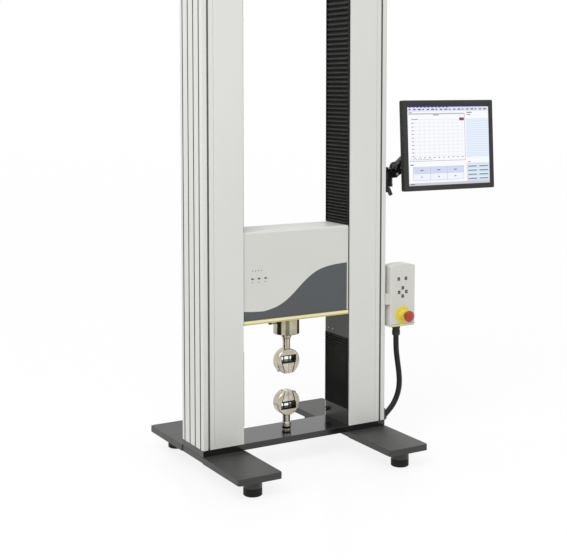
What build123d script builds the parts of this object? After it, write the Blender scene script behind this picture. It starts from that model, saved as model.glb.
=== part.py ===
from build123d import *
from math import cos, pi, radians, sin, tan
import os

# Twin-column universal testing machine, in millimetres.
# Origin: on the floor, midway between the columns.  +X right, +Y back, +Z up.

# ---- feet and base ----
PAD_R = 29.0            # levelling pads and the collars over them
PAD_H = 24.0
COLLAR_H = 28.0
PAD_SPLIT = 0.5         # open line between pad and collar
STUD_R = 8.0
STUD_TOP = 64.0
FOOT_W = 150.0
FOOT_FRONT = -317.0
FOOT_REAR = 327.0
FOOT_T = 20.0
FOOT_RADIUS = 10.0
FOOT_Z = PAD_H + COLLAR_H
PAD_Y = (-265.0, 275.0)
BASE_T = 20.0
BASE_TOP = FOOT_Z + FOOT_T + BASE_T
WAIST_W = 144.0         # the feet are a little narrower under the base plate

# ---- columns ----
GAP = 400.0             # clear width between the columns
COL_W = 144.0
COL_D = 152.0
COL_H = 1560.0
COL_TOP = BASE_TOP + COL_H
X_IN = GAP / 2
X_OUT = X_IN + COL_W
X_MID = (X_IN + X_OUT) / 2
COL_HALF_D = COL_D / 2
OUTER_WALL = 26.0
SIDE_WALL = 9.0
CORNER_W = 40.0         # solid corner beside each cover panel
COVER_T = 3.0
LIP_W = 12.0            # the walls stop this far short of the bellows
SLOT_W = 7.0            # mouth of each T slot
SLOT_LIP = 3.0          # thickness of the lips beside the mouth
SLOT_DEEP = 10.0
SLOT_POCKET = 12.0      # width behind the lips
SLOT_PITCH = 38.0
FRONT_SLOT = 21.0       # centre of the front and rear slots, from the outer face
FRONT_DEEP = 8.0
FRONT_POCKET = 10.0
RUN = 0.3               # gap between pieces that move past each other
FIT = 0.05              # radial clearance of a shaft in its bore

# ---- top ----
TOP_T = 20.0
TOP_PLATE_TOP = COL_TOP + TOP_T
HOUSING_TOP = 1850.0
HOUSING_WALL = 2.5

# ---- drive ----
SCREW_X = 250.0
SCREW_R = 12.5
JOURNAL_R = 10.0
SCREW_PULLEY_R = 40.0
MOTOR_PULLEY_R = 20.0
BELT_T = 3.0
BELT_W = 12.0
TIER = {-1: TOP_PLATE_TOP + 20.0, 1: TOP_PLATE_TOP + 40.0}   # belt levels, left and right
MOTOR_BASE = TOP_PLATE_TOP + 70.0
MOTOR_W = 80.0
MOTOR_H = 88.0
RAIL_W = 20.0
RAIL_H = 17.0
RAIL_X = X_OUT - OUTER_WALL

# ---- crosshead ----
CH_BOTTOM = 472.0
CH_TOP = 768.0
CH_HALF_W = 197.0
CH_FRONT = -71.0
CH_REAR = 73.0
CH_WALL = 2.5
BEAM_Z = (500.0, 620.0)
BEAM_HALF_D = 35.0
BEAM_END = 290.0
SIDE_PLATE_T = 6.0
SIDE_PLATE_X = CH_HALF_W + 0.5
SIDE_PLATE_Z = (388.0, 770.0)
SIDE_HALF_D = 69.0
CELL_R = 43.5
CELL_BOTTOM = 415.0
CELL_BOSS = 392.0       # lower end of the cell's threaded boss

# ---- bellows ----
BELLOWS_HALF_D = 70.0
RIDGE_X = 194.0
VALLEY_X = 206.0
BELLOWS_T = 1.4
BELLOWS_FOOT = 148.0

# ---- grips ----
GRIP_R = 42.0
GRIP_HALF_T = 16.0
UPPER_GRIP_Z = 323.0
LOWER_GRIP_Z = 184.0
GRIP_CHAMFER = 2.0
STEM_R = 12.5
WEDGE = 17.0            # degrees from the pull axis
MOUTH_HALF = 12.0
WINDOW_HALF = 26.0
WINDOW_TOP = 17.0
RELIEF = 2.4            # the body stands back this far from the jaws' faces
RELIEF_TOP = 4.0        # and this far above the window
RELIEF_DEEP = 3.0
JAW_LOW = -40.0
JAW_HIGH = -6.0
JAW_GAP = 0.6
TONGUE = 2.5
SEAT_R = 16.0
SEAT_RING_R = 14.5
SEAT_SPLIT = 104.0
SEAT_TOP = 118.0

# ---- handset ----
HS_X = (356.0, 457.0)
HS_Y = (-90.0, -45.0)
HS_Z = (411.5, 625.5)
HS_CROWN = 7.0
KEY_W = 10.0
KEY_H = 11.0
KEY_DEEP = 3.5
KEY_TOP_Z = 575.0
KEY_PAD = (406.0, 529.0)
KEY_STEP = (15.0, 14.0)
STOP_X = 405.0
STOP_Z = 451.5
STOP_RING_R = 30.0
STOP_R = 19.0
STOP_SHAFT_R = 9.0
STOP_BOSS_R = 15.0
STOP_BOSS_TIP = 21.0    # how far the boss, the head and the shaft stand out of the face
STOP_BACK = 27.0
STOP_TIP = 50.0
STOP_SHAFT_TIP = 40.0
STOP_BORE = 42.0
CABLE_R = 9.5
GLAND_R = 14.0
GLAND_FOOT_T = 3.4
CABLE_ROUTE = [
    (396.4, -66.0, 377.4),
    (396.4, -66.0, 333.9),
    (403.5, -65.0, 289.4),
    (411.7, -64.0, 245.0),
    (415.0, -63.0, 207.5),
    (410.3, -62.0, 175.2),
    (397.5, -61.0, 145.3),
    (377.4, -60.0, 119.7),
    (353.6, -60.0, 101.8),
]

# ---- monitor and its arm ----
SWIVEL_X = 398.0
ARM_Z = 913.0                # middle of the bracket on the column
LUG_Z = (ARM_Z - 30, ARM_Z - 21, ARM_Z + 22, ARM_Z + 37)
LEVER_Z = ARM_Z - 47         # underside of the clamp lever's hub
LIFT_A = (444.0, 947.0)      # lower pivot of the lifting link, X and Z
LIFT_B = (535.0, 1016.0)     # upper pivot
KNUCKLE_R = 18.0
HUMP = (434.0, 971.0)        # the link is deeper over its lower pivot
HUMP_R = 7.0
CHEEK_FOOT = ARM_Z           # lower edge of the swivel's cheeks
LINK_HALF_T = 12.6
CHEEK = (13.0, 22.0)
PAN_X = 585.0
PAN_Z = (998.0, 1010.0, 1034.0, 1046.0)
SHELL_CENTRE = (582.0, -110.0, 1025.9)   # middle of the bezel, in the plane of the screen
SCREEN_YAW = -2.5
SCREEN_TILT = 3.6
SCREEN_W = 338.0
SCREEN_H = 274.5
BEZEL_SIDE = 19.0
BEZEL_TOP = 14.0
BEZEL_BOTTOM = 18.0
BEZEL_DEEP = 22.0
SHELL_DEEP = 58.0
BACK_DEEP = 26.0             # depth of the tapered back behind the bezel
BOSS_DEEP = 40.0             # where the raised boss starts
VENT_PITCH = 9.0
VENT_COUNT = 24
TILT_BACK = 76.0             # tilt axis behind the screen's face


def save(solid, name):
    """Label a finished piece and write it to its own file."""
    solid.label = name
    export_step(solid, f"parts/{name}.step")


os.makedirs("parts", exist_ok=True)

# ============ base ============
with BuildPart() as base_plate:
    with BuildSketch(Plane.XY.offset(FOOT_Z + FOOT_T)):
        Rectangle(2 * X_OUT, COL_D)
    extrude(amount=BASE_T)
    chamfer(base_plate.faces().sort_by(Axis.Z)[-1].edges(), 0.8)
save(base_plate.part, "base_plate")

foot_length = FOOT_REAR - FOOT_FRONT
foot_middle = (FOOT_REAR + FOOT_FRONT) / 2
pad_places = [(side * X_MID, y) for side in (-1, 1) for y in PAD_Y]
with BuildPart() as foot_plates:
    with BuildSketch(Plane.XY.offset(FOOT_Z)):
        with Locations((-X_MID, foot_middle), (X_MID, foot_middle)):
            RectangleRounded(FOOT_W, foot_length, FOOT_RADIUS)
        # waist that sits under the base plate
        with Locations(*[(side * (X_MID + end * FOOT_W / 2), 0) for side in (-1, 1) for end in (-1, 1)]):
            Rectangle(FOOT_W - WAIST_W, COL_D, mode=Mode.SUBTRACT)
    extrude(amount=FOOT_T)
    rims = foot_plates.faces().filter_by(Axis.Z).sort_by(Axis.Z)[-2:]
    chamfer([e for f in rims for e in f.outer_wire().edges()], 1.5)
    # blind holes for the studs
    with BuildSketch(Plane.XY.offset(FOOT_Z)):
        with Locations(*pad_places):
            Circle(STUD_R + FIT)
    extrude(amount=STUD_TOP - FOOT_Z + 2, mode=Mode.SUBTRACT)
save(foot_plates.part, "foot_plates")

with BuildPart() as foot_collars:
    with BuildSketch(Plane.XY.offset(PAD_H + PAD_SPLIT)):
        with Locations(*pad_places):
            Circle(PAD_R)
            Circle(STUD_R + FIT, mode=Mode.SUBTRACT)
    extrude(amount=COLLAR_H - PAD_SPLIT)
save(foot_collars.part, "foot_collars")

for name, place in zip(("left_front", "left_rear", "right_front", "right_rear"), pad_places):
    with BuildPart() as levelling_pad:
        with BuildSketch():
            with Locations(place):
                Circle(PAD_R)
        extrude(amount=PAD_H)
        chamfer(levelling_pad.edges().sort_by(Axis.Z)[0], 2)
        with BuildSketch(Plane.XY.offset(PAD_H)):
            with Locations(place):
                Circle(STUD_R)
        extrude(amount=STUD_TOP - PAD_H)
    save(levelling_pad.part, f"levelling_pad_{name}")

# ============ columns ============
slot_line = [(i - 1.5) * SLOT_PITCH for i in range(4)]
for side, name in ((-1, "left"), (1, "right")):
    with BuildPart() as column:
        with BuildSketch(Plane.XY.offset(BASE_TOP)):
            with Locations((side * X_MID, 0)):
                RectangleRounded(COL_W, COL_D, 3)
            cavity_w = COL_W - OUTER_WALL
            with Locations((side * (X_IN + cavity_w / 2), 0)):
                Rectangle(cavity_w, COL_D - 2 * SIDE_WALL, mode=Mode.SUBTRACT)
            panel_w = COL_W - CORNER_W
            panel_y = COL_HALF_D - COVER_T / 2
            with Locations(*[(side * (X_IN + panel_w / 2), end * panel_y) for end in (-1, 1)]):
                Rectangle(panel_w, COVER_T, mode=Mode.SUBTRACT)
            with Locations((side * (X_IN + LIP_W / 2), 0)):
                Rectangle(LIP_W, COL_D, mode=Mode.SUBTRACT)
            # T slots: a mouth between two lips, and a wider pocket behind them
            with Locations(*[(side * (X_OUT - SLOT_DEEP / 2), y) for y in slot_line]):
                Rectangle(SLOT_DEEP, SLOT_W, mode=Mode.SUBTRACT)
            pocket_deep = SLOT_DEEP - SLOT_LIP
            with Locations(*[(side * (X_OUT - SLOT_LIP - pocket_deep / 2), y) for y in slot_line]):
                Rectangle(pocket_deep, SLOT_POCKET, mode=Mode.SUBTRACT)
            front_line = side * (X_OUT - FRONT_SLOT)
            with Locations(*[(front_line, end * (COL_HALF_D - FRONT_DEEP / 2)) for end in (-1, 1)]):
                Rectangle(SLOT_W, FRONT_DEEP, mode=Mode.SUBTRACT)
            pocket_deep = FRONT_DEEP - SLOT_LIP
            pocket_y = COL_HALF_D - SLOT_LIP - pocket_deep / 2
            with Locations((front_line, -pocket_y), (front_line, pocket_y)):
                Rectangle(FRONT_POCKET, pocket_deep, mode=Mode.SUBTRACT)
        extrude(amount=COL_H)
    save(column.part, f"column_{name}")

# front and rear cover panels, with a return lip beside the bellows
seam = 0.8
panel_w = COL_W - CORNER_W - seam
with BuildPart() as column_covers:
    with BuildSketch(Plane.XY.offset(BASE_TOP)):
        for side in (-1, 1):
            for end in (-1, 1):
                with Locations((side * (X_IN + panel_w / 2), end * (COL_HALF_D - COVER_T / 2))):
                    Rectangle(panel_w, COVER_T)
                with Locations((side * (X_IN + COVER_T / 2), end * (COL_HALF_D - COVER_T / 2 - 1))):
                    Rectangle(COVER_T, COVER_T + 2)
    extrude(amount=COL_H)
save(column_covers.part, "column_covers")

with BuildPart() as guide_rails:
    with BuildSketch(Plane.XY.offset(BASE_TOP + 8)):
        with Locations(*[(side * (RAIL_X - RAIL_H / 2), 0) for side in (-1, 1)]):
            Rectangle(RAIL_H, RAIL_W)
        # waists on the rail's flanks
        with Locations(*[(side * (RAIL_X - 5), end * RAIL_W / 2) for side in (-1, 1) for end in (-1, 1)]):
            Rectangle(4, 4, mode=Mode.SUBTRACT)
    extrude(amount=COL_H - 16)
save(guide_rails.part, "guide_rails")

# flat dark panels that close the column openings below the bellows
foot_panel_t = 6.0
with BuildPart() as bellows_feet:
    with BuildSketch(Plane.XY.offset(BASE_TOP)):
        with Locations(*[(side * (X_IN + 1), 0) for side in (-1, 1)]):
            Rectangle(foot_panel_t, 2 * SIDE_HALF_D)
    extrude(amount=BELLOWS_FOOT - BASE_TOP)
    chamfer(bellows_feet.faces().sort_by(Axis.Z)[-2:].edges(), 0.8)
save(bellows_feet.part, "bellows_feet")


def bellows(name, side, z_low, z_high, pleats, low_share):
    """A pleated strip; each pleat takes low_share of the mean pitch at the bottom, the rest evens out."""
    def level(i):
        u = i / (2 * pleats)
        return z_low + (z_high - z_low) * (low_share * u + (1 - low_share) * u * u)
    outer = [(side * (RIDGE_X if i % 2 else VALLEY_X - BELLOWS_T), level(i)) for i in range(2 * pleats + 1)]
    inner = [(x + side * BELLOWS_T, z) for x, z in reversed(outer)]
    with BuildPart() as strip:
        with BuildSketch(Plane.XZ.offset(-BELLOWS_HALF_D)):
            with BuildLine():
                Polyline(*outer, *inner, close=True)
            make_face()
        extrude(amount=2 * BELLOWS_HALF_D)
    save(strip.part, name)


for side, name in ((-1, "left"), (1, "right")):
    bellows(f"bellows_upper_{name}", side, SIDE_PLATE_Z[1] + RUN, COL_TOP, 62, 0.7)
    bellows(f"bellows_lower_{name}", side, BELLOWS_FOOT, SIDE_PLATE_Z[0] - RUN, 42, 0.45)

# ============ top ============
with BuildPart() as top_plate:
    with BuildSketch(Plane.XY.offset(COL_TOP)):
        RectangleRounded(2 * X_OUT, COL_D, 3)
        with Locations((-SCREW_X, 0), (SCREW_X, 0)):
            Circle(26, mode=Mode.SUBTRACT)
    extrude(amount=TOP_T)
save(top_plate.part, "top_plate")

inlet_x = -270.0
inlet_z = TOP_PLATE_TOP + 45
with BuildPart() as top_housing:
    with BuildSketch(Plane.XY.offset(TOP_PLATE_TOP)):
        RectangleRounded(2 * X_OUT, COL_D, 6)
    extrude(amount=HOUSING_TOP - TOP_PLATE_TOP)
    fillet(top_housing.faces().sort_by(Axis.Z)[-1].edges(), 5)
    offset(amount=-HOUSING_WALL, openings=top_housing.faces().sort_by(Axis.Z)[0])
    with BuildSketch(Plane.XZ.offset(-COL_HALF_D)):
        with Locations((inlet_x, inlet_z)):
            Rectangle(28, 20)
        # cooling slots on the rear
        with GridLocations(0, 9, 1, 6):
            with Locations((0, TOP_PLATE_TOP + 95)):
                SlotOverall(90, 4)
    extrude(amount=HOUSING_WALL * 2, mode=Mode.SUBTRACT)
save(top_housing.part, "top_housing")

with BuildPart() as power_inlet:
    with BuildSketch(Plane.XZ.offset(-COL_HALF_D - 3)):
        with Locations((inlet_x, inlet_z)):
            RectangleRounded(50, 27, 6)
    extrude(amount=3)
    with BuildSketch(Plane.XZ.offset(-COL_HALF_D)):
        with Locations((inlet_x, inlet_z)):
            Rectangle(27.6, 19.6)
    extrude(amount=24)
    with BuildSketch(Plane.XZ.offset(-COL_HALF_D - 3)):
        with Locations((inlet_x, inlet_z)):
            RectangleRounded(24, 16.5, 2)
    extrude(amount=18, mode=Mode.SUBTRACT)
    with BuildSketch(Plane.XZ.offset(-COL_HALF_D + 16)):
        with Locations((inlet_x - 7, inlet_z - 2), (inlet_x, inlet_z + 2), (inlet_x + 7, inlet_z - 2)):
            Rectangle(2, 4)
    extrude(amount=-9)
save(power_inlet.part, "power_inlet")

# ============ drive ============
with BuildPart() as screw_bearings:
    for side in (-1, 1):
        with BuildSketch(Plane.XY.offset(BASE_TOP)):
            with Locations((side * SCREW_X, 0)):
                Circle(34)
        extrude(amount=10)
        with BuildSketch(Plane.XY.offset(BASE_TOP)):
            with Locations((side * SCREW_X, 0)):
                Circle(24)
        extrude(amount=32)
        with BuildSketch(Plane.XY.offset(COL_TOP - 12)):
            with Locations((side * SCREW_X, 0)):
                Circle(25.9)
        extrude(amount=TOP_T + 12)
        with BuildSketch(Plane.XY.offset(TOP_PLATE_TOP)):
            with Locations((side * SCREW_X, 0)):
                Circle(36)
        extrude(amount=8)
        with BuildSketch(Plane.XY.offset(BASE_TOP + 4)):
            with Locations((side * SCREW_X, 0)):
                Circle(JOURNAL_R + FIT)
        extrude(amount=COL_H + TOP_T + 40, mode=Mode.SUBTRACT)
save(screw_bearings.part, "screw_bearings")


def screw_outline(tier):
    """Half section of a ball screw with its journals and flanged belt pulley."""
    foot = BASE_TOP + 4 + RUN
    shoulder_low = BASE_TOP + 32 + RUN
    shoulder_high = COL_TOP - 12 - RUN
    rim = SCREW_PULLEY_R + 3
    return [
        (0, foot), (JOURNAL_R, foot), (JOURNAL_R, shoulder_low), (SCREW_R, shoulder_low),
        (SCREW_R, shoulder_high), (JOURNAL_R, shoulder_high), (JOURNAL_R, tier - BELT_W / 2 - 3),
        (rim, tier - BELT_W / 2 - 3), (rim, tier - BELT_W / 2 - 1), (SCREW_PULLEY_R, tier - BELT_W / 2 - 1),
        (SCREW_PULLEY_R, tier + BELT_W / 2 + 1), (rim, tier + BELT_W / 2 + 1), (rim, tier + BELT_W / 2 + 3),
        (14, tier + BELT_W / 2 + 3), (14, tier + BELT_W / 2 + 8), (0, tier + BELT_W / 2 + 8),
    ]


for side, name in ((-1, "left"), (1, "right")):
    with BuildPart() as ball_screw:
        with BuildSketch(Plane.XZ):
            with BuildLine():
                Polyline(*[(side * SCREW_X + r, z) for r, z in screw_outline(TIER[side])], close=True)
            make_face()
        revolve(axis=Axis((side * SCREW_X, 0, 0), (0, 0, 1)))
    save(ball_screw.part, f"ball_screw_{name}")

with BuildPart() as timing_belts:
    for side in (-1, 1):
        with BuildSketch(Plane.XY.offset(TIER[side] - BELT_W / 2)):
            for grow, mode in ((BELT_T, Mode.ADD), (0, Mode.SUBTRACT)):
                with BuildSketch(mode=mode):
                    with Locations((side * SCREW_X, 0)):
                        Circle(SCREW_PULLEY_R + RUN + grow)
                    Circle(MOTOR_PULLEY_R + RUN + grow)
                    make_hull()
        extrude(amount=BELT_W)
save(timing_belts.part, "timing_belts")

with BuildPart() as motor_pulley:
    with BuildSketch(Plane.XY.offset(TIER[-1] - BELT_W / 2 - 3)):
        Circle(MOTOR_PULLEY_R + 3)
    extrude(amount=TIER[1] - TIER[-1] + BELT_W + 6)
    for level in TIER.values():
        with BuildSketch(Plane.XY.offset(level - BELT_W / 2 - 1)):
            Circle(MOTOR_PULLEY_R + 3)
            Circle(MOTOR_PULLEY_R, mode=Mode.SUBTRACT)
        extrude(amount=BELT_W + 2, mode=Mode.SUBTRACT)
    with BuildSketch(Plane.XY.offset(TIER[1])):
        Circle(STUD_R)
    extrude(amount=MOTOR_BASE + 18 - TIER[1])
save(motor_pulley.part, "motor_pulley")

with BuildPart() as drive_motor:
    # folded bracket that straddles the belts
    with BuildSketch(Plane.XY.offset(TOP_PLATE_TOP)):
        with Locations((0, -64), (0, 64)):
            Rectangle(110, 6)
    extrude(amount=MOTOR_BASE - TOP_PLATE_TOP)
    with BuildSketch(Plane.XY.offset(MOTOR_BASE - 8)):
        Rectangle(110, 134)
        Circle(15, mode=Mode.SUBTRACT)
    extrude(amount=8)
    # motor with its square flange, body and rear cap
    with BuildSketch(Plane.XY.offset(MOTOR_BASE)):
        RectangleRounded(MOTOR_W + 6, MOTOR_W + 6, 8)
    extrude(amount=8)
    with BuildSketch(Plane.XY.offset(MOTOR_BASE + 8)):
        RectangleRounded(MOTOR_W, MOTOR_W, 12)
    extrude(amount=MOTOR_H - 8)
    with BuildSketch(Plane.XY.offset(MOTOR_BASE)):
        Circle(STUD_R + FIT)
    extrude(amount=22, mode=Mode.SUBTRACT)
save(drive_motor.part, "drive_motor")

# ============ crosshead ============
beam_mid = sum(BEAM_Z) / 2
beam_h = BEAM_Z[1] - BEAM_Z[0]
with BuildPart() as crosshead_beam:
    with BuildSketch(Plane.XY.offset(BEAM_Z[0])):
        Rectangle(2 * BEAM_END, 2 * BEAM_HALF_D)
        with Locations((-SCREW_X, 0), (SCREW_X, 0)):
            Circle(22, mode=Mode.SUBTRACT)
    extrude(amount=beam_h)
    # weight-saving pockets, front and rear, with a rib over the load cell
    for end in (-1, 1):
        with BuildSketch(Plane.XZ.offset(-end * BEAM_HALF_D)):
            with Locations(*[(x, beam_mid) for x in (-155, -85, 85, 155)]):
                RectangleRounded(58, beam_h - 36, 8)
        extrude(amount=end * 22, mode=Mode.SUBTRACT)
save(crosshead_beam.part, "crosshead_beam")


def crosshead_cover(name, y_face, sign):
    """Half of the crosshead's casing, open towards the other half. sign is -1 at the front."""
    depth = abs(y_face)
    with BuildPart() as cover:
        with BuildSketch(Plane.XZ):
            with Locations((0, (CH_BOTTOM + CH_TOP) / 2)):
                Rectangle(2 * CH_HALF_W, CH_TOP - CH_BOTTOM)
        extrude(amount=-sign * depth)
        face = cover.faces().sort_by(Axis.Y)[0 if sign < 0 else -1]
        fillet(face.edges().sort_by(Axis.Z)[-1], 7)
        fillet(cover.faces().sort_by(Axis.Y)[0 if sign < 0 else -1].edges().filter_by(Axis.Z), 2)
        offset(amount=-CH_WALL, openings=cover.faces().sort_by(Axis.Y)[-1 if sign < 0 else 0])
        # notches for the beam's arms, and half of the load cell's hole
        with BuildSketch(Plane.YZ.offset(-CH_HALF_W)):
            with Locations((0, beam_mid)):
                Rectangle(2 * BEAM_HALF_D + 1, beam_h + 1)
        extrude(amount=2 * CH_HALF_W, mode=Mode.SUBTRACT)
        with BuildSketch(Plane.XY.offset(CH_BOTTOM)):
            Circle(CELL_R + 1.5)
        extrude(amount=CH_WALL * 2, mode=Mode.SUBTRACT)
        if sign < 0:
            # trim lip along the lower front edge
            with BuildSketch(Plane.YZ.offset(-CH_HALF_W)):
                with Locations((y_face + 0.5, CH_BOTTOM + 2.5)):
                    Rectangle(3, 5)
            extrude(amount=2 * CH_HALF_W)
    save(cover.part, name)


crosshead_cover("crosshead_front_cover", CH_FRONT, -1)
crosshead_cover("crosshead_rear_cover", CH_REAR, 1)

# dark plates on the crosshead's sides, which carry the ends of the bellows
side_plate_mid = sum(SIDE_PLATE_Z) / 2
with BuildPart() as crosshead_side_plates:
    for side in (-1, 1):
        with BuildSketch(Plane.YZ.offset(side * SIDE_PLATE_X)):
            with Locations((0, side_plate_mid)):
                RectangleRounded(2 * SIDE_HALF_D, SIDE_PLATE_Z[1] - SIDE_PLATE_Z[0], 2)
            with Locations((0, beam_mid)):
                Rectangle(2 * BEAM_HALF_D, beam_h, mode=Mode.SUBTRACT)
        extrude(amount=side * SIDE_PLATE_T)
save(crosshead_side_plates.part, "crosshead_side_plates")

nut_r = 22.0
with BuildPart() as ball_nuts:
    with BuildSketch(Plane.XY.offset(BEAM_Z[0] - 10)):
        with Locations((-SCREW_X, 0), (SCREW_X, 0)):
            Circle(31)
    extrude(amount=10)
    with BuildSketch(Plane.XY.offset(BEAM_Z[0])):
        with Locations((-SCREW_X, 0), (SCREW_X, 0)):
            Circle(nut_r)
    extrude(amount=beam_h + 6)
    with BuildSketch(Plane.XY.offset(BEAM_Z[0] - 10)):
        with Locations((-SCREW_X, 0), (SCREW_X, 0)):
            Circle(SCREW_R + FIT)
    extrude(amount=beam_h + 16, mode=Mode.SUBTRACT)
save(ball_nuts.part, "ball_nuts")

carriage_reach = 24.0
with BuildPart() as guide_carriages:
    with BuildSketch(Plane.XY.offset(BEAM_Z[0] + 5)):
        with Locations(*[(side * (BEAM_END + carriage_reach / 2), 0) for side in (-1, 1)]):
            Rectangle(carriage_reach, 44)
        slot_from = RAIL_X - RAIL_H - RUN
        slot_w = BEAM_END + carriage_reach - slot_from
        with Locations(*[(side * (slot_from + slot_w / 2), 0) for side in (-1, 1)]):
            Rectangle(slot_w, RAIL_W + 2 * RUN, mode=Mode.SUBTRACT)
    extrude(amount=beam_h - 10)
save(guide_carriages.part, "guide_carriages")

with BuildPart() as load_cell:
    with BuildSketch(Plane.XZ):
        with BuildLine():
            Polyline(
                (0, CELL_BOSS), (STEM_R + 1, CELL_BOSS), (STEM_R + 1, CELL_BOSS + 7),
                (STEM_R + 3.5, CELL_BOSS + 10), (STEM_R + 3.5, CELL_BOTTOM),
                (CELL_R - 1.5, CELL_BOTTOM), (CELL_R, CELL_BOTTOM + 1.5), (CELL_R, BEAM_Z[0] - 14),
                (CELL_R - 8, BEAM_Z[0] - 14), (CELL_R - 8, BEAM_Z[0]), (0, BEAM_Z[0]), close=True,
            )
        make_face()
    revolve(axis=Axis.Z)
    # cable socket on the left flank
    with BuildSketch(Plane.YZ.offset(-CELL_R + 3)):
        with Locations((0, CELL_BOTTOM + 42)):
            Circle(8)
    extrude(amount=-20)
save(load_cell.part, "load_cell")

# ============ grips ============
# h runs from the centre of the grip towards its stem; s is 1 with the stem up, -1 with the stem down
slope = tan(radians(WEDGE))


def wedge_half(h):
    """Half the width of the wedge-shaped seat at height h."""
    return MOUTH_HALF + (h + GRIP_R) * slope


cavity_top = (WINDOW_HALF - MOUTH_HALF) / slope - GRIP_R


def grip_body(name, zc, s, stem_end):
    """A round grip with its wedge seat, window, jaw grooves and pin holes."""
    def at(x, h):
        return (x, zc + s * h)
    with BuildPart() as body:
        with BuildSketch(Plane.XZ.offset(-GRIP_HALF_T)):
            with Locations(at(0, 0)):
                Circle(GRIP_R)
        extrude(amount=2 * GRIP_HALF_T)
        chamfer(body.edges().filter_by(GeomType.CIRCLE), GRIP_CHAMFER)
        with BuildSketch(Plane.XY.offset(zc + s * (GRIP_R - 3))):
            Circle(STEM_R)
        extrude(amount=stem_end - zc - s * (GRIP_R - 3))
        # lock screw on the shoulder beside the mouth
        with BuildSketch(Plane(origin=(-s * 27, 0, zc - s * 27), z_dir=(-s, 0, -s))):
            Circle(4.5)
        extrude(amount=8.5)
        # seat and window right through, and a relief round them in both faces
        below = -GRIP_R - 3
        for grow, rise, y_from, deep in (
            (0, 0, -GRIP_HALF_T, 2 * GRIP_HALF_T),
            (RELIEF, RELIEF_TOP, -GRIP_HALF_T, RELIEF_DEEP),
            (RELIEF, RELIEF_TOP, GRIP_HALF_T - RELIEF_DEEP, RELIEF_DEEP),
        ):
            foot = wedge_half(below) + grow
            half = WINDOW_HALF + grow
            top = WINDOW_TOP + rise
            with BuildSketch(Plane.XZ.offset(y_from)):
                with BuildLine():
                    Polyline(
                        at(-foot, below), at(foot, below), at(half, cavity_top), at(half, top),
                        at(-half, top), at(-half, cavity_top), close=True,
                    )
                make_face()
            extrude(amount=deep, mode=Mode.SUBTRACT)
        # grooves that guide the jaws' tongues
        low, high = wedge_half(-GRIP_R), wedge_half(6)
        with BuildSketch(Plane.XZ.offset(-5.3)):
            for side in (-1, 1):
                with BuildLine():
                    Polyline(
                        at(side * (low - 1), -GRIP_R), at(side * (low + 3), -GRIP_R),
                        at(side * (high + 3), 6), at(side * (high - 5), 6), close=True,
                    )
                make_face()
        extrude(amount=10.6, mode=Mode.SUBTRACT)
        # guide holes for the pusher's pins
        with BuildSketch(Plane.XY.offset(zc + s * WINDOW_TOP)):
            with Locations((-10, 0), (10, 0)):
                Circle(2 + FIT)
        extrude(amount=s * 12, mode=Mode.SUBTRACT)
    save(body.part, name)


def grip_jaw(name, zc, s, side):
    """One wedge jaw, with a tongue along its sloping back."""
    back = RUN / cos(radians(WEDGE))

    def at(x, h):
        return (side * x, zc + s * h)
    with BuildPart() as jaw:
        with BuildSketch(Plane.XZ.offset(-GRIP_HALF_T + 0.5)):
            with BuildLine():
                Polyline(
                    at(JAW_GAP / 2, JAW_LOW), at(wedge_half(JAW_LOW) - back, JAW_LOW),
                    at(wedge_half(JAW_HIGH) - back, JAW_HIGH), at(JAW_GAP / 2, JAW_HIGH), close=True,
                )
            make_face()
        extrude(amount=2 * GRIP_HALF_T - 1)
        start = JAW_LOW + 4
        low, high = wedge_half(start), wedge_half(JAW_HIGH)
        with BuildSketch(Plane.XZ.offset(-5)):
            with BuildLine():
                Polyline(
                    at(low - 2, start), at(low + TONGUE, start),
                    at(high + TONGUE, JAW_HIGH), at(high - 2, JAW_HIGH), close=True,
                )
            make_face()
        extrude(amount=10)
        # serrations across the gripping face
        with BuildSketch(Plane.XZ.offset(-GRIP_HALF_T + 0.5)):
            for i in range(10):
                with BuildLine():
                    h = JAW_LOW + 3 + i * 3
                    Polyline(at(0, h - 1), at(JAW_GAP / 2 + 0.8, h), at(0, h + 1), close=True)
                make_face()
        extrude(amount=2 * GRIP_HALF_T - 1, mode=Mode.SUBTRACT)
    save(jaw.part, name)


def grip_pusher(name, zc, s):
    """The bar that bears on both jaws, with two guide pins."""
    bar_low = JAW_HIGH + RUN
    with BuildPart() as pusher:
        with BuildSketch(Plane.XZ.offset(-GRIP_HALF_T + 1.5)):
            with Locations((0, zc + s * (bar_low + 3))):
                RectangleRounded(44, 6, 1)
        extrude(amount=2 * GRIP_HALF_T - 3)
        with BuildSketch(Plane.XY.offset(zc + s * (bar_low + 3))):
            with Locations((-10, 0), (10, 0)):
                Circle(2)
        extrude(amount=s * (WINDOW_TOP + 2 - bar_low - 3))
    save(pusher.part, name)


for level, zc, s, stem_end in (("upper", UPPER_GRIP_Z, 1, CELL_BOSS), ("lower", LOWER_GRIP_Z, -1, SEAT_TOP)):
    grip_body(f"{level}_grip_body", zc, s, stem_end)
    grip_jaw(f"{level}_jaw_left", zc, s, -1)
    grip_jaw(f"{level}_jaw_right", zc, s, 1)
    grip_pusher(f"{level}_grip_pusher", zc, s)

# lock ring on the base plate, and the collar over it
with BuildPart() as lower_grip_seat:
    with BuildSketch(Plane.XY.offset(BASE_TOP)):
        Circle(SEAT_RING_R)
    extrude(amount=SEAT_SPLIT - BASE_TOP)
    with BuildSketch(Plane.XY.offset(SEAT_SPLIT)):
        Circle(SEAT_R)
    extrude(amount=SEAT_TOP - SEAT_SPLIT)
    chamfer(lower_grip_seat.faces().sort_by(Axis.Z)[-1].edges(), 1.5)
save(lower_grip_seat.part, "lower_grip_seat")

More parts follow.
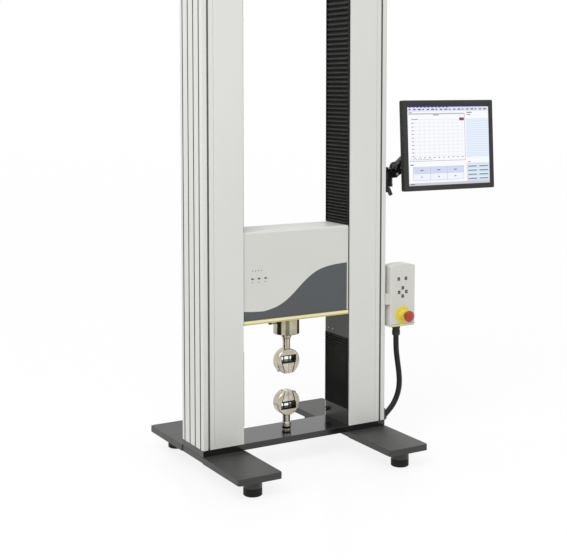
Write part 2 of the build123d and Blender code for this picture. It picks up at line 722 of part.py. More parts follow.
# ============ handset ============
hs_mid_x = sum(HS_X) / 2
key_mid = STOP_X - 1
key_places = {
    "up_fast": (key_mid - KEY_STEP[0], KEY_TOP_Z),
    "down_fast": (key_mid + KEY_STEP[0], KEY_TOP_Z),
    "raise": (KEY_PAD[0], KEY_PAD[1] + KEY_STEP[1]),
    "start": (KEY_PAD[0] - KEY_STEP[0], KEY_PAD[1]),
    "halt": (KEY_PAD[0] + KEY_STEP[0], KEY_PAD[1]),
    "lower": (KEY_PAD[0], KEY_PAD[1] - KEY_STEP[1]),
}
with BuildPart() as handset_shell:
    with BuildSketch(Plane.XZ.offset(-HS_Y[1])):
        with BuildLine():
            shoulder = HS_Z[1] - HS_CROWN
            Polyline((HS_X[0], shoulder), (HS_X[0], HS_Z[0]), (HS_X[1], HS_Z[0]), (HS_X[1], shoulder))
            ThreePointArc((HS_X[1], shoulder), (hs_mid_x, HS_Z[1]), (HS_X[0], shoulder))
        make_face()
    extrude(amount=HS_Y[1] - HS_Y[0])
    fillet(handset_shell.edges().filter_by(Axis.Y), 5)
    fillet(handset_shell.faces().sort_by(Axis.Y)[0].edges(), 2.5)
    # hanger tab on the column's side
    with BuildSketch(Plane.YZ.offset(X_OUT)):
        with Locations((-72, 508)):
            Rectangle(28, 36)
    extrude(amount=HS_X[0] - X_OUT + 2)
    # ring under the stop button
    with BuildSketch(Plane.XZ.offset(-HS_Y[0])):
        with Locations((STOP_X, STOP_Z)):
            Circle(STOP_RING_R)
    extrude(amount=1.2)
    with BuildSketch(Plane.XZ.offset(-HS_Y[0] + 1.2)):
        with Locations((STOP_X, STOP_Z)):
            Circle(STOP_BOSS_R)
    extrude(amount=STOP_BOSS_TIP - 1.2)
    with BuildSketch(Plane.XZ.offset(-HS_Y[0] + STOP_BOSS_TIP)):
        with Locations((STOP_X, STOP_Z)):
            Circle(STOP_SHAFT_R + FIT)
    extrude(amount=-STOP_BORE, mode=Mode.SUBTRACT)
    # key wells
    with BuildSketch(Plane.XZ.offset(-HS_Y[0])):
        with Locations(*key_places.values()):
            Rectangle(KEY_W + 2 * RUN, KEY_H + 2 * RUN)
    extrude(amount=-KEY_DEEP, mode=Mode.SUBTRACT)
save(handset_shell.part, "handset_shell")

for name, place in key_places.items():
    with BuildPart() as key:
        with BuildSketch(Plane.XZ.offset(-HS_Y[0] + 0.6)):
            with Locations(place):
                RectangleRounded(KEY_W, KEY_H, 1.2)
        extrude(amount=-(KEY_DEEP - 1.2))
        chamfer(key.faces().sort_by(Axis.Y)[0].edges(), 0.4)
    save(key.part, f"key_{name}")

stop_axis = Axis((STOP_X, 0, STOP_Z), (0, 1, 0))
plunger_tip = HS_Y[0] - STOP_SHAFT_TIP
with BuildPart() as stop_plunger:
    with BuildSketch(Plane.XZ.offset(-plunger_tip)):
        with Locations((STOP_X, STOP_Z)):
            Circle(STOP_SHAFT_R)
    extrude(amount=-STOP_BORE - (STOP_SHAFT_TIP - STOP_BOSS_TIP) + 9)
save(stop_plunger.part, "stop_plunger")

head_back = HS_Y[0] - STOP_BACK
head_tip = HS_Y[0] - STOP_TIP
dome_rise = 7.0
dome_r = (STOP_R**2 + dome_rise**2) / (2 * dome_rise)
dome_half_x = STOP_R / 2
dome_half_y = head_tip + dome_r - (dome_r**2 - dome_half_x**2) ** 0.5
with BuildPart() as stop_head:
    with BuildSketch(Plane.XY.offset(STOP_Z)):
        with BuildLine():
            inner = STOP_X + STOP_SHAFT_R + FIT
            Polyline(
                (STOP_X, head_tip), (STOP_X, plunger_tip - FIT), (inner, plunger_tip - FIT),
                (inner, head_back),
                (STOP_X + 13, head_back), (STOP_X + 15, head_back - 6), (STOP_X + STOP_R, head_back - 10),
                (STOP_X + STOP_R, head_tip + dome_rise),
            )
            ThreePointArc(
                (STOP_X + STOP_R, head_tip + dome_rise), (STOP_X + dome_half_x, dome_half_y),
                (STOP_X, head_tip),
            )
        make_face()
    revolve(axis=stop_axis)
save(stop_head.part, "stop_head")

# ============ handset cable and its glands ============
corners = [Vector(*p) for p in CABLE_ROUTE]
runs = [b - a for a, b in zip(corners, corners[1:])]
radii = []
for before, after in zip(runs, runs[1:]):
    turn = radians(before.get_angle(after))
    radii.append(0.45 * min(before.length, after.length) / tan(turn / 2))
print("cable radii, mm:", [round(r) for r in radii], "for a diameter of", 2 * CABLE_R)
with BuildPart() as handset_cable:
    with BuildLine() as route:
        FilletPolyline(*CABLE_ROUTE, radius=radii)
    with BuildSketch(Plane(origin=CABLE_ROUTE[0], z_dir=runs[0].normalized())):
        Circle(CABLE_R)
    sweep(path=route.wires()[0])
cable_length = route.wires()[0].length
cable_area = pi * CABLE_R**2
print("cable length", round(cable_length, 1), "volume over area times length",
      round(handset_cable.part.volume / (cable_area * cable_length), 4))
save(handset_cable.part, "handset_cable")

last = runs[-1].normalized()
with BuildPart() as cable_glands:
    # nut and collar under the handset
    with BuildSketch(Plane(origin=CABLE_ROUTE[0], z_dir=(0, 0, 1))):
        Circle(GLAND_R)
    extrude(amount=HS_Z[0] - CABLE_ROUTE[0][2])
    # slanting nut and its block at the foot of the column
    with BuildSketch(Plane(origin=CABLE_ROUTE[-1], z_dir=tuple(last))):
        Circle(GLAND_R - 1)
    extrude(amount=24)
    with Locations((X_OUT + GLAND_FOOT_T / 2, CABLE_ROUTE[-1][1], BASE_TOP + 20)):
        Box(GLAND_FOOT_T, 32, 38)
    with Locations((X_OUT - 50, 0, BASE_TOP)):
        Box(100, 200, 200, mode=Mode.SUBTRACT)
save(cable_glands.part, "cable_glands")

# ============ monitor arm ============
with BuildPart() as arm_bracket:
    with BuildSketch(Plane.YZ.offset(X_OUT)):
        with Locations((0, ARM_Z)):
            RectangleRounded(68, 120, 6)
    extrude(amount=8)
    for z_low in (LUG_Z[0], LUG_Z[2]):
        with BuildSketch(Plane.XY.offset(z_low)):
            with Locations((SWIVEL_X, 0)):
                Circle(22)
            with Locations(((X_OUT + 4 + SWIVEL_X) / 2, 0)):
                Rectangle(SWIVEL_X - X_OUT - 4, 44)
        extrude(amount=9)
    with BuildSketch(Plane.XY.offset(LEVER_Z - 3)):
        with Locations((SWIVEL_X, 0)):
            Circle(7)
    extrude(amount=86)
save(arm_bracket.part, "arm_bracket")

with BuildPart() as arm_swivel:
    with BuildSketch(Plane.XY.offset(LUG_Z[1] + RUN)):
        with Locations((SWIVEL_X, 0)):
            Circle(21)
    extrude(amount=LUG_Z[2] - LUG_Z[1] - 2 * RUN)
    for end in (-1, 1):
        with BuildSketch(Plane.XZ.offset(-end * CHEEK[0])):
            with BuildSketch():
                with Locations((SWIVEL_X + 25, (CHEEK_FOOT + LUG_Z[2]) / 2)):
                    Rectangle(4, LUG_Z[2] - CHEEK_FOOT - 2 * RUN)
                with Locations(LIFT_A):
                    Circle(KNUCKLE_R)
                make_hull()
            with Locations((SWIVEL_X + 12, (CHEEK_FOOT + LUG_Z[2]) / 2)):
                Rectangle(24, LUG_Z[2] - CHEEK_FOOT - 2 * RUN)
        extrude(amount=-end * (CHEEK[1] - CHEEK[0]))
    with BuildSketch(Plane.XZ.offset(-CHEEK[1] - 3)):
        with Locations(LIFT_A):
            Circle(5)
    extrude(amount=2 * CHEEK[1] + 6)
    with BuildSketch(Plane.XY.offset(LUG_Z[1])):
        with Locations((SWIVEL_X, 0)):
            Circle(7 + FIT)
    extrude(amount=LUG_Z[2] - LUG_Z[1], mode=Mode.SUBTRACT)
save(arm_swivel.part, "arm_swivel")

with BuildPart() as arm_link:
    with BuildSketch(Plane.XZ.offset(-LINK_HALF_T)):
        with BuildSketch():
            with Locations(LIFT_A):
                Circle(KNUCKLE_R - 1)
            with Locations(LIFT_B):
                Circle(KNUCKLE_R)
            with Locations(HUMP):
                Circle(HUMP_R)
            make_hull()
        with Locations(LIFT_A, LIFT_B):
            Circle(5 + FIT, mode=Mode.SUBTRACT)
    extrude(amount=2 * LINK_HALF_T)
    chamfer(arm_link.edges().filter_by(GeomType.LINE).group_by(Axis.Y)[0], 2)
save(arm_link.part, "arm_link")

with BuildPart() as arm_head:
    for end in (-1, 1):
        with BuildSketch(Plane.XZ.offset(-end * CHEEK[0])):
            with BuildSketch():
                with Locations(LIFT_B):
                    Circle(14)
                with Locations((LIFT_B[0] + 24, (PAN_Z[1] + PAN_Z[2]) / 2)):
                    Rectangle(4, 22)
                make_hull()
        extrude(amount=-end * (CHEEK[1] - CHEEK[0]))
    with BuildSketch(Plane.XZ.offset(-CHEEK[1] - 2)):
        with Locations(LIFT_B):
            Circle(5)
    extrude(amount=2 * CHEEK[1] + 4)
    # bridge between the cheeks, and the ring round the pan pin
    with BuildSketch(Plane.XY.offset(PAN_Z[1] + RUN)):
        with Locations((PAN_X, 0)):
            Circle(15)
        with Locations((LIFT_B[0] + 23, 0)):
            Rectangle(6, 2 * CHEEK[1])
        with Locations(((LIFT_B[0] + 23 + PAN_X) / 2, 0)):
            Rectangle(PAN_X - LIFT_B[0] - 23, 26)
    extrude(amount=PAN_Z[2] - PAN_Z[1] - 2 * RUN)
    with BuildSketch(Plane.XY.offset(PAN_Z[0] - 3)):
        with Locations((PAN_X, 0)):
            Circle(6)
    extrude(amount=PAN_Z[3] - PAN_Z[0] + 6)
save(arm_head.part, "arm_head")

yaw = radians(SCREEN_YAW)
tilt = radians(SCREEN_TILT)
screen_x = Vector(cos(yaw), sin(yaw), 0)
facing = Vector(sin(yaw), -cos(yaw), 0)
screen_normal = facing * cos(tilt) + Vector(0, 0, sin(tilt))
screen_plane = Plane(origin=SHELL_CENTRE, x_dir=screen_x, z_dir=screen_normal)
tilt_point = Vector(*SHELL_CENTRE) - screen_normal * TILT_BACK
screen_rise = (BEZEL_BOTTOM - BEZEL_TOP) / 2
print("tilt axis at", tilt_point, "along", screen_x)

with BuildPart() as monitor_mount:
    for z_low in (PAN_Z[0], PAN_Z[2]):
        with BuildSketch(Plane.XY.offset(z_low)):
            with Locations((PAN_X, 0)):
                Circle(15)
            with Locations((PAN_X, -10)):
                Rectangle(26, 20)
        extrude(amount=PAN_Z[1] - PAN_Z[0])
    with BuildSketch(Plane.XY.offset(PAN_Z[0])):
        with Locations((PAN_X, -22)):
            Rectangle(26, 10)
    extrude(amount=PAN_Z[3] - PAN_Z[0])
    with BuildSketch(Plane.XY.offset(PAN_Z[0] - 3)):
        with Locations((PAN_X, 0)):
            Circle(6 + FIT)
    extrude(amount=PAN_Z[3] - PAN_Z[0] + 6, mode=Mode.SUBTRACT)
    with BuildSketch(Plane(origin=tilt_point - screen_x * 14, z_dir=screen_x)):
        Circle(9)
    extrude(amount=28)
    with BuildSketch(Plane(origin=tilt_point - screen_x * 25, z_dir=screen_x)):
        Circle(4)
    extrude(amount=50)
save(monitor_mount.part, "monitor_mount")

with BuildPart() as monitor_shell:
    # bezel
    with BuildSketch(screen_plane.offset(2)):
        RectangleRounded(SCREEN_W + 2 * BEZEL_SIDE, SCREEN_H + BEZEL_TOP + BEZEL_BOTTOM, 5)
    extrude(amount=-BEZEL_DEEP)
    fillet(monitor_shell.faces().sort_by(Axis.Y)[0].edges(), 4)
    # tapered back and its raised boss
    with BuildSketch(screen_plane.offset(2 - BEZEL_DEEP)):
        RectangleRounded(SCREEN_W + 10, SCREEN_H + 10, 12)
    extrude(amount=-BACK_DEEP, taper=42)
    with BuildSketch(screen_plane.offset(-BOSS_DEEP)):
        RectangleRounded(150, 130, 6)
    extrude(amount=-(SHELL_DEEP - BOSS_DEEP))
    # vents over the boss, and the recess for the sockets under it
    with BuildSketch(screen_plane.offset(2 - BEZEL_DEEP - BACK_DEEP)):
        with Locations((0, 92)):
            with GridLocations(VENT_PITCH, 1, VENT_COUNT, 1):
                Rectangle(3.5, 24)
        with Locations((0, -88)):
            Rectangle(130, 20)
    extrude(amount=3, mode=Mode.SUBTRACT)
    with BuildSketch(screen_plane.offset(2)):
        with Locations((0, screen_rise)):
            Rectangle(SCREEN_W, SCREEN_H)
    extrude(amount=-4, mode=Mode.SUBTRACT)
    # mounting plate with two ears on the tilt pin
    with BuildSketch(screen_plane.offset(-SHELL_DEEP)):
        RectangleRounded(115, 115, 8)
    extrude(amount=-4)
    for start in (14 + RUN, -22):
        with BuildSketch(Plane(origin=tilt_point + screen_x * start, x_dir=screen_normal, z_dir=screen_x)):
            Circle(9)
            with Locations((8, 0)):
                Rectangle(16, 18)
        extrude(amount=22 - 14 - RUN)
    with BuildSketch(Plane(origin=tilt_point - screen_x * 26, z_dir=screen_x)):
        Circle(4 + FIT)
    extrude(amount=52, mode=Mode.SUBTRACT)
save(monitor_shell.part, "monitor_shell")

with BuildPart() as monitor_screen:
    with BuildSketch(screen_plane):
        with Locations((0, screen_rise)):
            Rectangle(SCREEN_W, SCREEN_H)
    extrude(amount=-2)
save(monitor_screen.part, "monitor_screen")

with BuildPart() as clamp_lever:
    with BuildSketch(Plane.XY.offset(LEVER_Z)):
        with Locations((SWIVEL_X, 0)):
            Circle(12)
    extrude(amount=14)
    with BuildSketch(Plane.XZ.offset(-5)):
        with BuildLine():
            Polyline(
                (SWIVEL_X + 5, LEVER_Z), (SWIVEL_X + 5, LEVER_Z + 14), (SWIVEL_X + 12, LEVER_Z + 14),
                (SWIVEL_X + 24, LEVER_Z - 11), (SWIVEL_X + 15, LEVER_Z - 16), close=True,
            )
        make_face()
    extrude(amount=10)
    with BuildSketch(Plane.XY.offset(LEVER_Z - 3)):
        with Locations((SWIVEL_X, 0)):
            Circle(7 + FIT)
    extrude(amount=20, mode=Mode.SUBTRACT)
save(clamp_lever.part, "clamp_lever")
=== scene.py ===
import math
import bmesh
import bpy
from mathutils import Matrix, Vector


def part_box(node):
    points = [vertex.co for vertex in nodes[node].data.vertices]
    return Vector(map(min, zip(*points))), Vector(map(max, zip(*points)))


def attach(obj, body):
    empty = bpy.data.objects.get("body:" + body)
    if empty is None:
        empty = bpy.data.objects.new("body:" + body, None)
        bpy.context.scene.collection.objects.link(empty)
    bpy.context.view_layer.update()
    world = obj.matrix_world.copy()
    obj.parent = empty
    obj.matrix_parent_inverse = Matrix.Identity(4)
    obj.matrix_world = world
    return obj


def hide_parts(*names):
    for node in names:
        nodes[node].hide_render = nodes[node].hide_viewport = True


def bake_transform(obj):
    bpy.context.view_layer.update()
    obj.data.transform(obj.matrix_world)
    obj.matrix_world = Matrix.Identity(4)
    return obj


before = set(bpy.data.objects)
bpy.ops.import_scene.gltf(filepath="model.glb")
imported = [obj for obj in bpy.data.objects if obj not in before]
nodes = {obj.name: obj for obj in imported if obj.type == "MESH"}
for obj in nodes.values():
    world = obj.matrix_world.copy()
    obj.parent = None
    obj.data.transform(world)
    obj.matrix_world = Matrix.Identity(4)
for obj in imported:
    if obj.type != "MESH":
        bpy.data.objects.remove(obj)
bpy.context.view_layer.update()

# Two-column testing machine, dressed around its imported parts. Metres, +Z up, +Y to the rear.
print("frame loaded:", len(nodes), "parts")


def tone(red, green, blue):
    # a display colour from 0 to 255, as the linear colour that a shader takes
    shares = [c / 255 for c in (red, green, blue)]
    return tuple(((s + 0.055) / 1.055) ** 2.4 if s > 0.04045 else s / 12.92 for s in shares) + (1,)


def shifted(colour, step):
    # a display colour made a little lighter or darker
    return tone(*[c + step for c in colour])


class Wire:
    # one output of a node; arithmetic on wires adds Math nodes
    def __init__(self, tree, socket):
        self.tree = tree
        self.socket = socket

    def math(self, operation, *others, swapped=False):
        step = self.tree.nodes.new("ShaderNodeMath")
        step.operation = operation
        values = (*others, self) if swapped else (self, *others)
        for slot, value in zip(step.inputs, values):
            if isinstance(value, Wire):
                self.tree.links.new(value.socket, slot)
            else:
                slot.default_value = value
        return Wire(self.tree, step.outputs[0])

    def __add__(self, other):
        return self.math("ADD", other)

    def __mul__(self, other):
        return self.math("MULTIPLY", other)

    def __sub__(self, other):
        return self.math("SUBTRACT", other)

    def __rsub__(self, other):
        return self.math("SUBTRACT", other, swapped=True)

    def __truediv__(self, other):
        return self.math("DIVIDE", other)

    def __rtruediv__(self, other):
        return self.math("DIVIDE", other, swapped=True)

    def __pow__(self, other):
        return self.math("POWER", other)

    def __rpow__(self, other):
        return self.math("POWER", other, swapped=True)

    def __gt__(self, other):
        return self.math("GREATER_THAN", other)

    def __lt__(self, other):
        return self.math("LESS_THAN", other)

    def __abs__(self):
        return self.math("ABSOLUTE")

    __radd__ = __add__
    __rmul__ = __mul__

    def within(self, low, high):
        return (self > low) * (self < high)


class Wiring:
    # a node tree under construction
    def __init__(self, tree):
        self.tree = tree

    def node(self, kind, settings=None, sockets=None, output=0):
        made = self.tree.nodes.new("ShaderNode" + kind)
        for key, value in (settings or {}).items():
            if key == "stops":
                ramp = made.color_ramp
                while len(ramp.elements) < len(value):
                    ramp.elements.new(0.5)
                for element, (place, colour) in zip(ramp.elements, value):
                    element.position = place
                    element.color = colour
            else:
                setattr(made, key, value)
        for key, value in (sockets or {}).items():
            self.feed(made.inputs[key], value)
        return Wire(self.tree, made.outputs[output])

    def feed(self, slot, value):
        if isinstance(value, Wire):
            self.tree.links.new(value.socket, slot)
        else:
            slot.default_value = value

    def plainRays(self):
        # 1 for the rays that see the backdrop as plain white: direct, mirrored and passed through
        direct = self.node("LightPath", output="Is Camera Ray")
        mirrored = self.node("LightPath", output="Is Glossy Ray")
        through = self.node("LightPath", output="Is Transmission Ray")
        return (direct + mirrored + through).math("MINIMUM", 1.0)


class Paint(Wiring):
    # a material under construction
    def __init__(self, name, fixed):
        self.material = bpy.data.materials.new(name)
        self.material.use_nodes = True
        super().__init__(self.material.node_tree)
        self.shader = self.tree.nodes["Principled BSDF"]
        for socket, value in fixed.items():
            self.shader.inputs[socket].default_value = value

    def axis(self, letter):
        here = self.node("TexCoord", output="Object")
        return self.node("SeparateXYZ", {}, {"Vector": here}, output=letter)

    def noise(self, scale, detail=3, stretch=(1, 1, 1)):
        here = self.node("TexCoord", output="Object")
        there = self.node("Mapping", {"vector_type": "TEXTURE"}, {
            "Vector": here, "Scale": tuple(1 / s for s in stretch)})
        return self.node("TexNoise", {}, {"Vector": there, "Scale": scale, "Detail": detail})

    def mix(self, share, first, second):
        # sockets 0, 6 and 7 are the share and the two colours, and output 2 is the colour
        return self.node("Mix", {"data_type": "RGBA"}, {0: share, 6: first, 7: second}, output=2)

    def shade(self, wire, dark, light, low=0.35, high=0.65):
        # a ramp between two colours over the middle of a noise
        return self.node("ValToRGB", {"stops": ((low, dark), (high, light))}, {0: wire})

    def rough(self, value):
        self.feed(self.shader.inputs["Roughness"], value)

    def colour(self, value):
        self.feed(self.shader.inputs["Base Color"], value)

    def bump(self, height, depth):
        normal = self.node("Bump", {}, {"Height": height, "Distance": depth, "Strength": 1.0})
        self.feed(self.shader.inputs["Normal"], normal)


def powderCoat(name, low, high, roughness, peel=0.00006, grain=900, fixed=None):
    # baked paint: a slow drift of colour over an orange-peel skin
    paint = Paint(name, {"Specular IOR Level": 0.4, **(fixed or {})})
    drift = paint.noise(3.5, 2, (1, 1, 0.4))
    skin = paint.noise(grain, 2)
    paint.colour(paint.shade(drift, tone(*low), tone(*high)))
    paint.rough(paint.noise(40, 3) * 0.08 + (roughness - 0.04))
    paint.bump(skin, peel)
    return paint


slotShade = {          # the T slots' insides, darkened as painted shade
    "side": (0.3325, 0.3437),
    "front": (0.0655, 0.0757),
    "pitch": 0.019,       # half the step between neighbours
    "frontX": 0.323,
    "half": 0.0063,
    "sideShade": (112, 112, 109),
    "frontShade": (150, 150, 146),
}


def extrusion():
    # the columns: satin anodised extrusion, with fine lines along its length and painted shade inside the T
    # slots
    paint = Paint("columnAluminium", {"Specular IOR Level": 0.45})
    x, y = abs(paint.axis("X")), abs(paint.axis("Y"))
    row = abs(abs(y - 2 * slotShade["pitch"]) - slotShade["pitch"]) < slotShade["half"]
    outer = x.within(*slotShade["side"]) * row
    front = y.within(*slotShade["front"]) * (abs(x - slotShade["frontX"]) < slotShade["half"])
    lines = paint.noise(1.0, 4, (700, 700, 1.2))
    drift = paint.noise(2.5, 2, (1, 1, 0.5))
    tint = paint.shade(drift, tone(218, 219, 215), tone(224, 225, 221))
    skin = paint.mix(lines * 0.2, tint, tone(206, 207, 203))
    # the side and front slots' insides take darker greys, as painted shade
    sides = paint.mix(outer, skin, tone(*slotShade["sideShade"]))
    paint.colour(paint.mix(front, sides, tone(*slotShade["frontShade"])))
    paint.rough(lines * 0.12 + 0.34)
    paint.bump(lines, 0.00004)
    return paint


wave = {          # the dark printed field on the crosshead's front
    "field": (79, 83, 85),
    "paper": (216, 216, 211),
    "cover": (226, 225, 220),
    "low": 0.507,         # height of the crest's foot at the left, and of its top at the right
    "high": 0.646,
    "middle": 0.004,      # where it climbs fastest
    "reach": 0.078,
    "dipFrom": -0.125,    # left of here the crest rises again
    "dipSlope": 0.12,
    "edge": 0.191,        # the field stops short of the right edge
    "face": -0.070,
}


def crossheadFront():
    # pale paint with a dark field under one rising S-curve
    paint = Paint("crossheadFrontPaint", {"Specular IOR Level": 0.4})
    x, y, z = paint.axis("X"), paint.axis("Y"), paint.axis("Z")
    climb = ((x - wave["middle"]) / wave["reach"]).math("TANH") * 0.5 + 0.5
    crest = climb * (wave["high"] - wave["low"]) + wave["low"]
    dip = ((x - wave["dipFrom"]) * -1).math("MAXIMUM", 0.0) * wave["dipSlope"]
    front = y < wave["face"]
    field = (z < crest + dip) * (x < wave["edge"]) * front
    drift = paint.noise(4, 2)
    sheet = paint.shade(drift, shifted(wave["paper"], -3), tone(*wave["paper"]))
    cover = paint.shade(drift, shifted(wave["cover"], -3), tone(*wave["cover"]))
    paper = paint.mix(front, cover, sheet)
    ink = paint.shade(drift, tone(*wave["field"]), shifted(wave["field"], 3))
    paint.colour(paint.mix(field, paper, ink))
    paint.rough(paint.noise(50, 3) * 0.06 + 0.36)
    paint.bump(paint.noise(900, 2), 0.00004)
    return paint


cloth = {
    "upperPleats": 62,
    "lowerPleats": 40,
    "upperShare": 0.7,       # the lowest pleat's pitch, as a share of the mean
    "lowerShare": 0.35,
    "fold": 0.0010,          # rounding of each fold
    "thick": 0.0008,
    "hem": 0.0015,           # how far in the tape over the pleats' ends lies
    "tape": 0.0003,          # half its thickness
    "splits": (0, 0.018, 0.045, 0.09, 0.19, 0.81, 0.91, 0.955, 0.982, 1),     # shares of the travel
    "weave": 5200,
    "foldsPaleFrom": 0.20,        # the height where the pale folds start to show, and how much further they grow
    "foldsPaleOver": 0.14,
    "edge": 0.058,           # beyond this depth the hems are plain dark
}


def bellowsCloth():
    # coated cloth: a fine plain weave, with dust and a painted highlight along the outer folds and painted
    # shade darkening the valleys
    paint = Paint("bellowsCloth", {"Specular IOR Level": 0.22, "Sheen Weight": 0.08})
    x, y, z = abs(paint.axis("X")), paint.axis("Y"), paint.axis("Z")
    low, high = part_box("bellows_upper_right")
    threads = (y * cloth["weave"]).math("SINE") * (z * cloth["weave"]).math("SINE")
    wear = paint.noise(30, 4, (1, 1, 3))
    outward = ((high.x - x) / (high.x - low.x)).math("MAXIMUM", 0.0) ** 4
    paleUpward = ((z - cloth["foldsPaleFrom"]) / cloth["foldsPaleOver"]).math("MAXIMUM", 0.15).math("MINIMUM", 1.0)
    dustAndHighlight = paint.shade(wear, tone(90, 90, 82), tone(112, 112, 104))
    # pale outer folds are dust with a painted highlight, paler higher up; the near-black valleys are painted
    # shade over the black cloth
    plain = paint.mix(outward * paleUpward, tone(13, 13, 12), dustAndHighlight)
    paint.colour(paint.mix((abs(y) > cloth["edge"]) * 0.7, plain, tone(18, 18, 17)))
    paint.rough(wear * 0.2 + 0.38)
    paint.bump(threads + wear * 2, 0.00004)
    return paint


hollowShade = {"depth": 0.0152, "radius": 0.0405}     # where a grip's mouth and window are blacked as painted shade


def turnedSteel(name, height, low, high):
    # rings of a lathe tool on the face across Y; the mouth and the window inside are painted near-black as
    # shade
    paint = Paint(name, {"Metallic": 1.0})
    x, y, z = paint.axis("X"), abs(paint.axis("Y")), paint.axis("Z") - height
    radius = (x * x + z * z) ** 0.5
    insideShade = (y < hollowShade["depth"]) * (radius < hollowShade["radius"])
    rings = (radius * 4200).math("SINE")
    cloud = paint.noise(60, 4)
    # the near-black in the mouth and window is painted shade
    paint.colour(paint.mix(insideShade, paint.shade(cloud, tone(*low), tone(*high)), tone(20, 19, 17)))
    paint.rough(cloud * 0.14 + insideShade * 0.25 + 0.17)
    paint.bump(rings * 0.5 + paint.noise(500, 3), 0.00002)
    return paint


seat = {"ring": (0.0965, 0.1041), "black": (30, 30, 29)}      # heights of the black ring, and its colour


def seatSteel():
    # the bright collar of the lower seat over its black ring
    paint = Paint("seatSteel", {"Metallic": 1.0})
    ring = paint.axis("Z").within(*seat["ring"])
    cloud = paint.noise(60, 4)
    bright = paint.shade(cloud, tone(196, 190, 176), tone(226, 220, 206))
    paint.colour(paint.mix(ring, bright, tone(*seat["black"])))
    paint.rough(cloud * 0.12 + ring * 0.1 + 0.26)
    paint.bump(paint.noise(1.0, 3, (30, 30, 2600)), 0.000012)
    return paint


def polishedSteel(name, low, high):
    # ground and polished round, with bands along the axis
    paint = Paint(name, {"Metallic": 1.0})
    lines = paint.noise(1.0, 3, (30, 30, 2600))
    cloud = paint.noise(40, 3)
    paint.colour(paint.shade(cloud, tone(*low), tone(*high)))
    paint.rough(lines * 0.1 + 0.08)
    paint.bump(lines, 0.000012)
    return paint


def machinedSteel(name, low, high, roughness, coarse=1500):
    # plain machined steel, with marks one way
    paint = Paint(name, {"Metallic": 1.0})
    marks = paint.noise(1.0, 3, (coarse, coarse, 60))
    cloud = paint.noise(35, 3)
    paint.colour(paint.shade(cloud, tone(*low), tone(*high)))
    paint.rough(marks * 0.15 + (roughness - 0.07))
    paint.bump(marks, 0.00002)
    return paint


thread = {"lead": 0.010, "deep": 0.0008}       # one turn of the ball track, and its depth


def screwThread():
    # a rolled ball track
    paint = Paint("screwSteel", {"Metallic": 1.0})
    track = (paint.axis("Z") * (2 * math.pi / thread["lead"])).math("SINE")
    paint.colour(paint.shade(paint.noise(50, 3), tone(150, 150, 148), tone(185, 184, 180)))
    paint.rough(track * 0.05 + 0.25)
    paint.bump(track, thread["deep"])
    return paint


def mouldedPlastic(name, low, high, roughness, grain=1600, depth=0.00004, fixed=None):
    # spark-eroded mould texture
    paint = Paint(name, {"Specular IOR Level": 0.5, **(fixed or {})})
    texture = paint.noise(grain, 3)
    paint.colour(paint.shade(paint.noise(8, 2), tone(*low), tone(*high)))
    paint.rough(texture * 0.1 + (roughness - 0.05))
    paint.bump(texture, depth)
    return paint


def rubber(name, low, high):
    paint = Paint(name, {"Specular IOR Level": 0.3})
    grit = paint.noise(700, 4)
    paint.colour(paint.shade(paint.noise(25, 4), tone(*low), tone(*high)))
    paint.rough(grit * 0.15 + 0.55)
    paint.bump(grit, 0.00008)
    return paint


trim = {
    "proud": 0.0014,
    "tall": 0.0150,
    "highlightBand": (0.34, 0.86),       # the pale middle, a painted highlight, as shares of the height
    # the outline from the lower edge up: how far out, as a share of proud, and how high, as a share
    "outline": ((0, 0), (1, 0.02), (1, 0.28), (0.45, 0.34), (0.45, 0.80), (1, 0.86), (1, 0.98), (0, 1)),
}


def goldTrimPaint(name, low, high):
    # anodised moulding: a dark gold line, a pale middle painted as a highlight, and a gold lower edge
    paint = Paint(name, {"Metallic": 0.3, "Specular IOR Level": 0.6})
    grain = paint.noise(1.0, 3, (8, 900, 900))
    height = (paint.axis("Z") - low) / (high - low)
    gold = paint.shade(grain, tone(190, 174, 100), tone(212, 197, 126))
    # the pale middle is a painted highlight along the moulding
    paleHighlight = paint.mix(height.within(*trim["highlightBand"]), gold, tone(236, 234, 196))
    paint.colour(paint.mix(height > trim["highlightBand"][1], paleHighlight, tone(150, 126, 62)))
    paint.rough(grain * 0.1 + 0.26)
    paint.bump(grain, 0.00002)
    return paint


litRows = {"pitch": 0.00026, "between": 0.06, "dim": 0.7}       # the dark between the rows, and how dark


def glow(name, colour):
    # one patch of the lit display, over its fine rows
    paint = Paint(name, {"Base Color": (0.004, 0.004, 0.005, 1), "Roughness": 0.25, "Emission Strength": 1.0})
    line = (paint.axis("Z") * (2 * math.pi / litRows["pitch"])).math("SINE") * 0.5 + 0.5
    lit = paint.mix(line * litRows["between"], tone(*colour), tone(*[c * litRows["dim"] for c in colour]))
    paint.feed(paint.shader.inputs["Emission Color"], lit)
    return paint


lightPaint = powderCoat("lightPaint", (222, 221, 217), (229, 228, 224), 0.40)
housingPaint = powderCoat("housingPaint", (214, 215, 211), (220, 221, 217), 0.42)
footPaint = powderCoat("footPaint", (50, 50, 48), (60, 60, 58), 0.40, 0.00012, 1400)
glossPaint = powderCoat("glossBlackPaint", (10, 10, 10), (15, 15, 15), 0.16, 0.00002, 500,
                        {"Specular IOR Level": 0.66})
sidePaint = powderCoat("sidePlatePaint", (53, 53, 50), (61, 61, 58), 0.38)
panelPaint = powderCoat("footPanelPaint", (41, 41, 39), (49, 49, 46), 0.38)
armPaint = powderCoat("armPaint", (17, 17, 17), (23, 23, 23), 0.38, 0.00008, 1100)
columnFinish = extrusion()
frontFinish = crossheadFront()
clothFinish = bellowsCloth()
gripHeights = {"upper": 0.323, "lower": 0.184}
upperGripSteel = turnedSteel("upperGripSteel", gripHeights["upper"], (176, 168, 150), (202, 194, 176))
lowerGripSteel = turnedSteel("lowerGripSteel", gripHeights["lower"], (176, 168, 150), (202, 194, 176))
cellSteel = polishedSteel("loadCellSteel", (168, 160, 138), (190, 182, 160))
